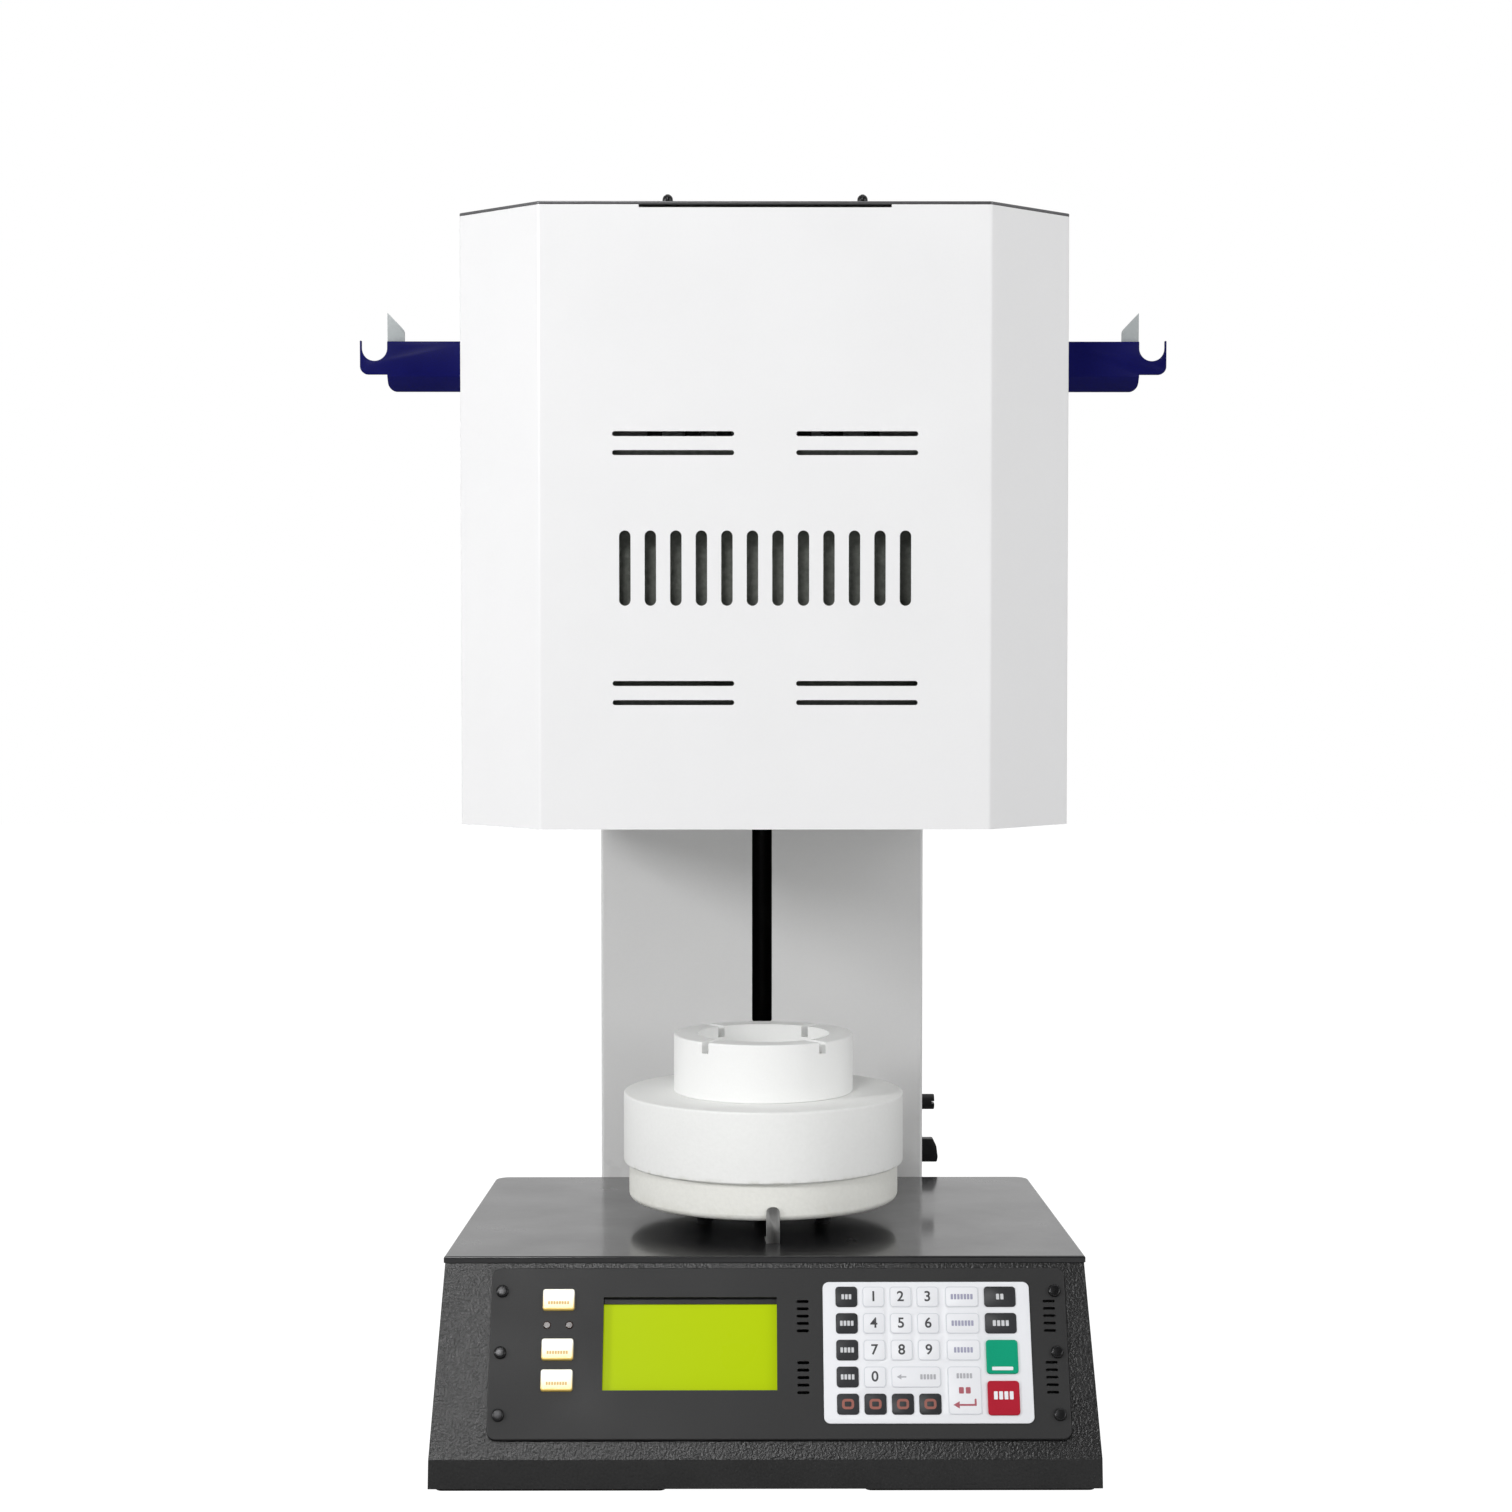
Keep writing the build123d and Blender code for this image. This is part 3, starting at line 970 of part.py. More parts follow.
ROCKER_PIVOT_X = HALF_COLUMN + ROCKER_RAISE
with BuildPart() as power_switch_rocker:
    side_plane = Plane(
        origin=(ROCKER_PIVOT_X, SWITCH_Y - ROCKER_WIDTH / 2, SWITCH_Z), x_dir=(1, 0, 0), z_dir=(0, -1, 0),
    )
    with BuildSketch(side_plane) as rocker_side:
        Polygon(
            (-ROCKER_HEEL, -ROCKER_HALF), (ROCKER_CHIN, -ROCKER_HALF), ROCKER_PEAK, ROCKER_CHEEK,
            (ROCKER_BROW, ROCKER_HALF), (-ROCKER_HEEL, ROCKER_HALF), align=None,
        )
        fillet(rocker_side.vertices().sort_by(Axis.X)[2:], ROCKER_ROUND)
    extrude(amount=-ROCKER_WIDTH)
    with BuildSketch(side_plane.offset((POCKET_WIDTH - ROCKER_WIDTH) / 2 - RUN_FIT)):
        Circle(ROCKER_PIN_RADIUS)
    extrude(amount=2 * RUN_FIT - POCKET_WIDTH)

FUSE_WALL = Plane(origin=(HALF_COLUMN, SWITCH_Y, FUSE_Z), x_dir=(0, 1, 0), z_dir=(1, 0, 0))
with BuildPart() as fuse_holder:
    with BuildSketch(FUSE_WALL):
        Circle(FUSE_COLLAR_RADIUS)
    extrude(amount=FUSE_COLLAR)
    with BuildSketch(FUSE_WALL):
        Circle(FUSE_BODY_RADIUS)
    extrude(amount=-FUSE_LENGTH)
    with BuildSketch(FUSE_WALL.offset(FUSE_COLLAR)):
        Circle(FUSE_STEM_RADIUS + RUN_FIT)
    extrude(amount=-FUSE_STEM_LENGTH - FUSE_COLLAR, mode=Mode.SUBTRACT)

with BuildPart() as fuse_cap:
    cap_plane = FUSE_WALL.offset(FUSE_COLLAR + GAP)
    with BuildSketch(cap_plane):
        Circle(FUSE_CAP_RADIUS)
    extrude(amount=FUSE_CAP_LENGTH)
    fillet(fuse_cap.faces().sort_by(Axis.X)[-1].edges(), FUSE_COLLAR * 0.4)
    with BuildSketch(cap_plane.offset(FUSE_CAP_LENGTH)):
        Rectangle(2 * FUSE_CAP_RADIUS, FUSE_SLOT[0])
    extrude(amount=-FUSE_SLOT[1], mode=Mode.SUBTRACT)
    with BuildSketch(cap_plane):
        Circle(FUSE_STEM_RADIUS)
    extrude(amount=-FUSE_STEM_LENGTH)

INLET_PINS = [(-INLET_PIN_SPREAD, -INLET_PIN_DROP), (INLET_PIN_SPREAD, -INLET_PIN_DROP), (0, INLET_PIN_DROP)]
with BuildPart() as mains_inlet:
    inlet_back = Plane(origin=(0, REAR_Y, INLET_Z), x_dir=(-1, 0, 0), z_dir=(0, 1, 0))
    with BuildSketch(inlet_back):
        RectangleRounded(*INLET_FLANGE, SCREW_HEAD_HEIGHT)
    extrude(amount=SCREW_HEAD_HEIGHT)
    with BuildSketch(inlet_back):
        Rectangle(*INLET_BODY)
    extrude(amount=-INLET_DEEP)
    with BuildSketch(inlet_back.offset(SCREW_HEAD_HEIGHT)):
        RectangleRounded(*INLET_SOCKET, SCREW_HEAD_HEIGHT)
    extrude(amount=-INLET_SOCKET_DEEP, mode=Mode.SUBTRACT)
    with BuildSketch(inlet_back.offset(SCREW_HEAD_HEIGHT - INLET_SOCKET_DEEP)):
        with Locations(*INLET_PINS):
            Rectangle(*INLET_PIN)
    extrude(amount=INLET_PIN_LENGTH)

# Head casing: front, front chamfers and sides from one sheet; the rear panel closes it
casing_ring = head_layer(0, HEAD_LOW, HEAD_TOP)
casing_hollow = head_layer(SHEET, HEAD_LOW, HEAD_TOP)
with BuildPart() as head_casing:
    add(casing_ring)
    add(head_layer(SHEET, HEAD_FLOOR, HEAD_TOP - SHEET), mode=Mode.SUBTRACT)
    add(head_layer(SHEET + HEAD_FLANGE, HEAD_LOW, HEAD_TOP), mode=Mode.SUBTRACT)
    split(bisect_by=Plane.XZ.offset(-REAR_SEAM_Y), keep=Keep.TOP)
    with BuildSketch(Plane.XZ.offset(-HEAD_Y)):
        with Locations((0, HEAD_TOP - TOP_GRIP_HEIGHT / 2)):
            Rectangle(2 * TOP_GRIP_HALF, TOP_GRIP_HEIGHT)
        with Locations(*[(side * SLOT_X, z) for side in (-1, 1) for z in SLOT_ROWS]):
            SlotOverall(SLOT_LENGTH, SLOT_HEIGHT)
        with Locations(*[(step, GRILLE_Z) for step in ladder(GRILLE_COUNT, GRILLE_PITCH)]):
            SlotOverall(GRILLE_SLOT[1], GRILLE_SLOT[0], rotation=90)
    extrude(amount=-2 * HEAD_FLANGE, mode=Mode.SUBTRACT)
    with BuildSketch(Plane.YZ.offset(-2 * HEAD_HALF)):
        with Locations(*SIDE_SCREWS, *HOOK_SCREWS):
            Circle(SCREW_RADIUS + RUN_FIT)
    extrude(amount=4 * HEAD_HALF, mode=Mode.SUBTRACT)

SEAM_HEIGHT = HEAD_TOP - SHEET - MUFFLE_Z - 2 * GAP
with BuildPart() as head_rear_panel:
    add(casing_ring)
    add(casing_hollow, mode=Mode.SUBTRACT)
    split(bisect_by=Plane.XZ.offset(-REAR_SEAM_Y), keep=Keep.BOTTOM)
    for side in (-1, 1):
        with Locations((side * (HEAD_HALF - 1.5 * SHEET), REAR_SEAM_Y - HEAD_FLANGE, MUFFLE_Z + GAP)):
            Box(SHEET, HEAD_FLANGE + HEAD_FOLD, SEAM_HEIGHT, align=FRONT_LOW)
    with BuildSketch(Plane.XZ.offset(-HEAD_REAR_Y)):
        with Locations(*ARM_SCREWS):
            Circle(SCREW_RADIUS + RUN_FIT)
    extrude(amount=2 * SHEET, mode=Mode.SUBTRACT)
    with BuildSketch(Plane.YZ.offset(-2 * HEAD_HALF)):
        with Locations(*SIDE_SCREWS):
            Circle(SCREW_RADIUS + RUN_FIT)
    extrude(amount=4 * HEAD_HALF, mode=Mode.SUBTRACT)

with BuildPart() as head_bottom_plate:
    add(head_layer(SHEET + GAP, HEAD_FLOOR, MUFFLE_Z, MOUTH_RADIUS))

with BuildPart() as head_top_plate:
    add(head_layer(0, HEAD_TOP, HEAD_TOP + PLATE))
    with BuildSketch(Plane.XY.offset(HEAD_TOP + PLATE)):
        with Locations((0, AXIS_Y)):
            with GridLocations(2 * SLOT_X, LID_VENT_PITCH, 2, LID_VENT_COUNT):
                SlotOverall(*LID_VENT)
        with Locations(*STUD_PLACES):
            Circle(STUD_RADIUS / 2 + RUN_FIT)
    extrude(amount=-PLATE, mode=Mode.SUBTRACT)

# Head fasteners: the two studs on the lid, then the screws of the hooks, seams and carriage arm
with BuildPart() as head_screws:
    for x, y in STUD_PLACES:
        stud_plane = Plane(origin=(x, y, HEAD_TOP + PLATE), z_dir=(0, 0, 1))
        add(pan_screw(stud_plane, STUD_RADIUS, STUD_HEIGHT, STUD_RADIUS / 2, STUD_STEM))
    for side in (-1, 1):
        for y, z in SIDE_SCREWS:
            add(pan_screw(side_seat(side, 0, y, z), *SCREW_SIZES))
        for y, z in HOOK_SCREWS:
            add(pan_screw(side_seat(side, HOOK_SHEET, y, z), *SCREW_SIZES))
    for x, z in ARM_SCREWS:
        arm_seat = HEAD_REAR_Y + ARM_PLATE[1]
        add(pan_screw(Plane(origin=(x, arm_seat, z), x_dir=(-1, 0, 0), z_dir=(0, 1, 0)), *SCREW_SIZES))

# Muffle: a steel jacket round three kinds of fibre block
JACKET_TOP = ROOF_TOP + JACKET_RISE
BLOCK_INSET = JACKET_AIR + JACKET + GAP
with BuildPart() as inner_jacket:
    add(head_layer(JACKET_AIR, MUFFLE_Z, JACKET_TOP))
    add(head_layer(JACKET_AIR + JACKET, MUFFLE_Z, JACKET_TOP), mode=Mode.SUBTRACT)

with BuildPart() as insulation_lower_ring:
    add(head_layer(BLOCK_INSET, MUFFLE_Z, CHAMBER_Z, MOUTH_RADIUS))

with BuildPart() as insulation_chamber_rings:
    for layer in range(CHAMBER_LAYERS):
        layer_z = CHAMBER_Z + layer * CHAMBER_LAYER
        add(head_layer(BLOCK_INSET, layer_z, layer_z + CHAMBER_LAYER - SEAT_FIT, CHAMBER_RADIUS))

with BuildPart() as insulation_roof:
    add(head_layer(BLOCK_INSET, ROOF_Z, ROOF_TOP))
    with BuildSketch(Plane.XY.offset(ROOF_Z)):
        with Locations(*LEG_PLACES):
            Circle(SHANK_RADIUS + HOLE_CLEARANCE)
        with Locations((0, AXIS_Y + PROBE_BEHIND)):
            Circle(PROBE_RADIUS + HOLE_CLEARANCE)
    extrude(amount=ROOF_THICK, mode=Mode.SUBTRACT)


def element_plane(turn, radius, z):
    """Upright plane square to a radius, at a turn round the pedestal axis."""
    outward = (math.cos(math.radians(turn)), math.sin(math.radians(turn)), 0)
    return Plane(origin=around(radius, turn, z), x_dir=(-outward[1], outward[0], 0), z_dir=outward)


# Six bent heating elements hang through the roof in ceramic holders, joined by straps
BEND_Z = -ELEMENT_DROP + ELEMENT_HALF
with BuildPart() as heating_elements:
    for turn in ELEMENT_TURNS:
        hang = element_plane(turn, ELEMENT_CIRCLE, ROOF_Z)
        with BuildLine(hang) as bend:
            Line((-ELEMENT_HALF, 0), (-ELEMENT_HALF, BEND_Z))
            ThreePointArc((-ELEMENT_HALF, BEND_Z), (0, -ELEMENT_DROP), (ELEMENT_HALF, BEND_Z))
            Line((ELEMENT_HALF, BEND_Z), (ELEMENT_HALF, 0))
        with BuildSketch(Plane(origin=bend.line @ 0, z_dir=bend.line % 0)):
            Circle(ELEMENT_RADIUS)
        sweep(path=bend.line)
    with BuildSketch(Plane.XY.offset(ROOF_Z)):
        with Locations(*LEG_PLACES):
            Circle(SHANK_RADIUS)
    extrude(amount=ROOF_THICK + SHANK_RISE)

with BuildPart() as element_holders:
    for turn in ELEMENT_TURNS:
        holder_plane = element_plane(turn, ELEMENT_CIRCLE, ROOF_TOP)
        with BuildSketch(holder_plane.offset(-HOLDER[1] / 2)):
            with Locations((0, HOLDER[2] / 2)):
                Rectangle(HOLDER[0], HOLDER[2])
        extrude(amount=HOLDER[1])
    with BuildSketch(Plane.XY.offset(ROOF_TOP)):
        with Locations(*LEG_PLACES):
            Circle(SHANK_RADIUS + RUN_FIT)
    extrude(amount=HOLDER[2], mode=Mode.SUBTRACT)

STRAP_HALF_TURN = 180 / ELEMENT_COUNT - LEG_TURN
STRAP_SPAN = 2 * LEG_RADIUS * math.sin(math.radians(STRAP_HALF_TURN))
STRAP_CIRCLE = LEG_RADIUS * math.cos(math.radians(STRAP_HALF_TURN))
with BuildPart() as element_straps:
    for turn in ELEMENT_TURNS[:-1]:
        middle = turn + 180 / ELEMENT_COUNT
        with BuildSketch(Plane(origin=around(STRAP_CIRCLE, middle, ROOF_TOP + STRAP_RISE), z_dir=(0, 0, 1))):
            SlotCenterToCenter(STRAP_SPAN, STRAP_WIDTH, rotation=middle + 90)
        extrude(amount=STRAP_THICK)
    with BuildSketch(Plane.XY.offset(ROOF_TOP + STRAP_RISE)):
        with Locations(*LEG_PLACES):
            Circle(SHANK_RADIUS + SEAT_FIT)
    extrude(amount=STRAP_THICK, mode=Mode.SUBTRACT)

with BuildPart() as thermocouple:
    with Locations((0, AXIS_Y + PROBE_BEHIND, ROOF_TOP)):
        Cylinder(PROBE_RADIUS, ROOF_THICK + PROBE_DROP, align=DOWN)
        Cylinder(PROBE_HEAD_RADIUS, PROBE_HEAD_HEIGHT, align=UP)

# Tool hooks: a folded arm with a hooked end at each side, and a pale guide fin behind it
HOOK_END = HEAD_HALF + HOOK_REACH
HOOK_LOW = HOOK_TOP - HOOK_FACE - HOOK_BAND
U_X = HOOK_END + HOOK_U_RADIUS
U_Z = HOOK_TOP - HOOK_NECK + HOOK_U_RISE + HOOK_U_RADIUS
HOOK_OUT = HOOK_END + 2 * HOOK_U_RADIUS + HOOK_TIP
HOOK_FRONT = Plane.XZ.offset(-HOOK_Y)
with BuildPart() as hook_right:
    with BuildSketch(HOOK_FRONT) as arm_outline:
        with Locations(((HEAD_HALF + HOOK_END) / 2, (HOOK_LOW + HOOK_TOP) / 2)):
            Rectangle(HOOK_REACH, HOOK_TOP - HOOK_LOW)
        fillet(arm_outline.vertices().sort_by(Axis.X)[-2:].sort_by(Axis.Y)[0], HOOK_BODY_CORNER)
    extrude(amount=-HOOK_SHEET - HOOK_BAND)
    with BuildSketch(Plane.YZ.offset(HEAD_HALF)):
        fold_z = HOOK_TOP - HOOK_FACE
        Polygon(
            (HOOK_Y, HOOK_TOP), (HOOK_Y, fold_z), (HOOK_Y + HOOK_BAND, HOOK_LOW),
            (HOOK_Y + HOOK_BAND + HOOK_SHEET, HOOK_LOW), (HOOK_Y + HOOK_SHEET, fold_z),
            (HOOK_Y + HOOK_SHEET, HOOK_TOP), align=None,
        )
    extrude(amount=HOOK_REACH, mode=Mode.INTERSECT)
    with BuildSketch(HOOK_FRONT) as hook_outline:
        hook_low = HOOK_TOP - HOOK_NECK
        hook_high = HOOK_TOP + HOOK_TIP_RISE
        with Locations(((HOOK_END + HOOK_OUT) / 2, (hook_low + hook_high) / 2)):
            Rectangle(HOOK_OUT - HOOK_END, hook_high - hook_low)
        fillet(hook_outline.vertices().group_by(Axis.X)[-1].sort_by(Axis.Y)[0], HOOK_CORNER)
        with Locations((U_X, U_Z)):
            Circle(HOOK_U_RADIUS, mode=Mode.SUBTRACT)
        with Locations((U_X, U_Z + HOOK_U_RADIUS)):
            Rectangle(2 * HOOK_U_RADIUS, 2 * HOOK_U_RADIUS, mode=Mode.SUBTRACT)
    extrude(amount=-HOOK_SHEET)
    with Locations((HEAD_HALF, HOOK_Y, fold_z)):
        Box(HOOK_SHEET, HOOK_FLANGE, HOOK_FACE, align=(Align.MIN, Align.MIN, Align.MIN))
    with BuildSketch(Plane.YZ.offset(HEAD_HALF)):
        with Locations(*HOOK_SCREWS):
            Circle(SCREW_RADIUS + RUN_FIT)
    extrude(amount=2 * HOOK_SHEET, mode=Mode.SUBTRACT)

with BuildPart() as tool_hooks:
    add(hook_right.part)
    mirror(about=Plane.YZ)

with BuildPart() as hook_fins:
    fin_foot = HOOK_TOP - FIN_TAIL
    with BuildSketch(HOOK_FRONT.offset(-HOOK_SHEET)) as fin_outline:
        Polygon(
            (HOOK_END, fin_foot), (HOOK_END, HOOK_TOP + FIN_RISE),
            (HOOK_END - FIN_WIDTH, HOOK_TOP + FIN_SHOULDER), (HOOK_END - FIN_WIDTH, fin_foot), align=None,
        )
        fillet(fin_outline.vertices().group_by(Axis.X)[0].sort_by(Axis.Y)[-1], FIN_ROUND)
    extrude(amount=-FIN_SHEET)
    mirror(about=Plane.YZ)

# Every finished piece is one node, named as its file
pieces = {
    "base_shell": base_shell, "base_lid": base_lid, "chassis_plate": chassis_plate, "base_feet": base_feet,
    "panel_plate": panel_plate, "cover_screws": cover_screws, "lcd_module": lcd_module,
    "lcd_window": lcd_window, "panel_leds": panel_leds, "push_button_housings": push_button_housings,
    "keypad_membrane": keypad_membrane, "keypad_dark_keys": keypad_dark_keys,
    "keypad_green_key": keypad_green_key, "keypad_red_key": keypad_red_key, "control_board": control_board,
    "power_transformer": power_transformer, "power_controller": power_controller, "fan_frame": fan_frame,
    "fan_rotor": fan_rotor, "pedestal_stand": pedestal_stand, "pedestal_clips": pedestal_clips,
    "pedestal_lower_disc": pedestal_lower_disc, "pedestal_upper_disc": pedestal_upper_disc,
    "crucible": crucible, "column_shell": column_shell, "column_rear_cover": column_rear_cover,
    "column_cap": column_cap, "rod_plates": rod_plates, "guide_rods": guide_rods, "lead_screw": lead_screw,
    "lift_motor": lift_motor, "carriage_block": carriage_block, "carriage_bushings": carriage_bushings,
    "lead_screw_nut": lead_screw_nut, "carriage_arm": carriage_arm, "limit_sensors": limit_sensors,
    "power_switch_housing": power_switch_housing, "power_switch_rocker": power_switch_rocker,
    "fuse_holder": fuse_holder, "fuse_cap": fuse_cap, "mains_inlet": mains_inlet,
    "head_casing": head_casing, "head_rear_panel": head_rear_panel, "head_top_plate": head_top_plate,
    "head_bottom_plate": head_bottom_plate, "head_screws": head_screws, "inner_jacket": inner_jacket,
    "insulation_lower_ring": insulation_lower_ring, "insulation_chamber_rings": insulation_chamber_rings,
    "insulation_roof": insulation_roof, "heating_elements": heating_elements,
    "element_holders": element_holders, "element_straps": element_straps, "thermocouple": thermocouple,
    "tool_hooks": tool_hooks, "hook_fins": hook_fins,
}
for place, y in BUTTON_ROWS.items():
    pieces[f"push_button_{place}"] = button_cap(y)

for name, piece in pieces.items():
    piece.part.label = name
    export_step(piece.part, f"parts/{name}.step")
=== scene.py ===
import json
import math
import bmesh
import bpy
from mathutils import Matrix, Vector


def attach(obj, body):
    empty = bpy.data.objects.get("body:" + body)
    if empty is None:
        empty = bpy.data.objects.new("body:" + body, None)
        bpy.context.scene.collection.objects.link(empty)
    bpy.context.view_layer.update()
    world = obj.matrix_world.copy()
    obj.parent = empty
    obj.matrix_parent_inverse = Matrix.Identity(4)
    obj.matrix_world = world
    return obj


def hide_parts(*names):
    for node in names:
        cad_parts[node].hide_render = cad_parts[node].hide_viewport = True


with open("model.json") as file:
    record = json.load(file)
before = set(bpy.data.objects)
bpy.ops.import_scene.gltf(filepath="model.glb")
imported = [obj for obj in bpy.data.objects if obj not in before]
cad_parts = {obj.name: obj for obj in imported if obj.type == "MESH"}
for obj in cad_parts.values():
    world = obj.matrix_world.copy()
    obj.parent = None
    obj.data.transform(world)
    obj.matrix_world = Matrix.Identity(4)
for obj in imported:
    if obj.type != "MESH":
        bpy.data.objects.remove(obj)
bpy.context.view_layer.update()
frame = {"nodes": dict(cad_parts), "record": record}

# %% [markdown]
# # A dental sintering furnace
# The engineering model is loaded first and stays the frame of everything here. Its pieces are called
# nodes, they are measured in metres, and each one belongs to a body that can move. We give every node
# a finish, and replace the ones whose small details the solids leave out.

nodes = frame["nodes"]
MM = 0.001

# %% [markdown]
# ## A recipe for painted and moulded surfaces
# No real surface has one flat colour. Each finish here mixes a broad cloudy noise with a fine grain.
# Both drive the colour, the cloud drives the roughness, and the grain also makes the bump. We could
# paint image textures instead, but noise on Object coordinates needs no unwrapping and has no seams.

# %% Helper: a finish from two noises
def noise(tree, scale, detail, stretch):
    """Noise on the piece's own coordinates, stretched where a surface is brushed."""
    place = tree.nodes.new("ShaderNodeTexCoord")
    turn = tree.nodes.new("ShaderNodeMapping")
    turn.inputs["Scale"].default_value = stretch
    cloud = tree.nodes.new("ShaderNodeTexNoise")
    cloud.inputs["Scale"].default_value = scale
    cloud.inputs["Detail"].default_value = detail
    tree.links.new(place.outputs["Object"], turn.inputs["Vector"])
    tree.links.new(turn.outputs["Vector"], cloud.inputs["Vector"])
    return cloud.outputs["Fac"]


def remap(tree, value, low, high, out_low, out_high):
    """Spreads a value from one range over another."""
    node = tree.nodes.new("ShaderNodeMapRange")
    for socket, number in zip(("From Min", "From Max", "To Min", "To Max"), (low, high, out_low, out_high)):
        node.inputs[socket].default_value = number
    tree.links.new(value, node.inputs["Value"])
    return node.outputs["Result"]


def finish(name, colour, rough, vary=0.06, spread=0.06, grain=900, bump=0.0, stretch=(1, 1, 1),
           metal=0.0, coat=0.0, coat_rough=0.1, cloud_scale=14, specular=0.5):
    """Principled material with a cloudy colour, a varied roughness and a fine grain."""
    material = bpy.data.materials.new(name)
    material.use_nodes = True
    tree = material.node_tree
    shader = tree.nodes["Principled BSDF"]
    cloud = noise(tree, cloud_scale, 6, stretch)
    fine = noise(tree, grain, 3, stretch)
    both = tree.nodes.new("ShaderNodeMath")
    both.operation = "MULTIPLY_ADD"
    both.inputs[1].default_value = 0.5
    half_fine = remap(tree, fine, 0, 1, 0, 0.5)
    tree.links.new(cloud, both.inputs[0])
    tree.links.new(half_fine, both.inputs[2])
    ramp = tree.nodes.new("ShaderNodeValToRGB")
    ramp.color_ramp.elements[0].position = 0.35
    ramp.color_ramp.elements[1].position = 0.65
    ramp.color_ramp.elements[0].color = [c * (1 - vary) for c in colour] + [1]
    ramp.color_ramp.elements[1].color = [min(1, c * (1 + vary)) for c in colour] + [1]
    tree.links.new(both.outputs["Value"], ramp.inputs["Fac"])
    tree.links.new(ramp.outputs["Color"], shader.inputs["Base Color"])
    tree.links.new(remap(tree, cloud, 0.3, 0.7, rough - spread, rough + spread), shader.inputs["Roughness"])
    shader.inputs["Metallic"].default_value = metal
    shader.inputs["Coat Weight"].default_value = coat
    shader.inputs["Coat Roughness"].default_value = coat_rough
    shader.inputs["Specular IOR Level"].default_value = specular
    if bump:
        relief = tree.nodes.new("ShaderNodeBump")
        relief.inputs["Strength"].default_value = 1.0
        relief.inputs["Distance"].default_value = bump
        tree.links.new(fine, relief.inputs["Height"])
        tree.links.new(relief.outputs["Normal"], shader.inputs["Normal"])
    return material


# %% [markdown]
# ## Painted shade along a seam
# Shade falls in a line where two parts meet, or where a part hangs over a dark gap, and it is painted
# here. The mask is how near a point is to one level, times a ragged noise. It mixes a darker tone into
# the colour. A pointiness or bevel mask would find edges by itself, but it doesn't survive an export.

# %% Helper: painted shade along one level
def painted_shade_at(material, axis, level, width, tone, amount=0.6):
    """Mixes a ragged band of painted shade, in another tone, into a finish along one level of an axis."""
    tree = material.node_tree
    shader = tree.nodes["Principled BSDF"]
    place = tree.nodes.new("ShaderNodeTexCoord")
    split = tree.nodes.new("ShaderNodeSeparateXYZ")
    away = tree.nodes.new("ShaderNodeMath")
    away.operation = "SUBTRACT"
    away.inputs[1].default_value = level
    size = tree.nodes.new("ShaderNodeMath")
    size.operation = "ABSOLUTE"
    tree.links.new(place.outputs["Object"], split.inputs["Vector"])
    tree.links.new(split.outputs[axis], away.inputs[0])
    tree.links.new(away.outputs["Value"], size.inputs[0])
    near = remap(tree, size.outputs["Value"], 0, width, amount, 0)
    ragged = remap(tree, noise(tree, 90, 8, (1, 1, 1)), 0.5, 0.6, 0, 1)
    mask = tree.nodes.new("ShaderNodeMath")
    mask.operation = "MULTIPLY"
    tree.links.new(near, mask.inputs[0])
    tree.links.new(ragged, mask.inputs[1])
    mix = tree.nodes.new("ShaderNodeMix")
    mix.data_type = "RGBA"
    mix.inputs["B"].default_value = tone
    before = shader.inputs["Base Color"].links[0].from_socket
    tree.links.new(mask.outputs["Value"], mix.inputs["Factor"])
    tree.links.new(before, mix.inputs["A"])
    tree.links.new(mix.outputs["Result"], shader.inputs["Base Color"])
    return material


# %% [markdown]
# ## Sheet metal
# The head is white enamel, the column a light grey one and the base a black powder coat with a coarse
# grain that catches the light. The lid on the base is the same black under a glossy clear layer, which
# is a coat in the shader. The panel is an anodised plate, so it is darker and smoother than the powder.

# %% Finishes of the sheet metal
head_white = finish("head_white_enamel", (0.86, 0.86, 0.865), 0.4, vary=0.008, grain=700, bump=0.000008,
                    coat=0.1)
head_lid_steel = finish("head_lid_steel", (0.16, 0.16, 0.165), 0.4, vary=0.2, grain=1200, bump=0.000008,
                        metal=0.85, stretch=(0.06, 1, 1))
column_grey = finish("column_grey_enamel", (0.84, 0.84, 0.838), 0.36, vary=0.012, grain=700,
                     bump=0.000008, coat=0.08)
# Painted shade: a ragged grey band along the column's foot, where it meets the base.
painted_shade_at(column_grey, "Z", 0.138, 0.02, (0.5, 0.5, 0.49, 1), 0.15)
base_black = finish("base_powder_coat", (0.008, 0.008, 0.0082), 0.32, vary=0.6, spread=0.02, grain=620,
                    bump=0.0004, cloud_scale=26, specular=0.66)
lid_black = finish("lid_gloss_enamel", (0.01, 0.01, 0.011), 0.32, vary=0.2, grain=420, bump=0.000005,
                   coat=0.75, coat_rough=0.1, specular=0.35)
panel_grey = finish("panel_anodised_plate", (0.02, 0.02, 0.0204), 0.48, vary=0.15, grain=1600, bump=0.00001,
                    specular=0.4)
print("sheet metal finishes ready")
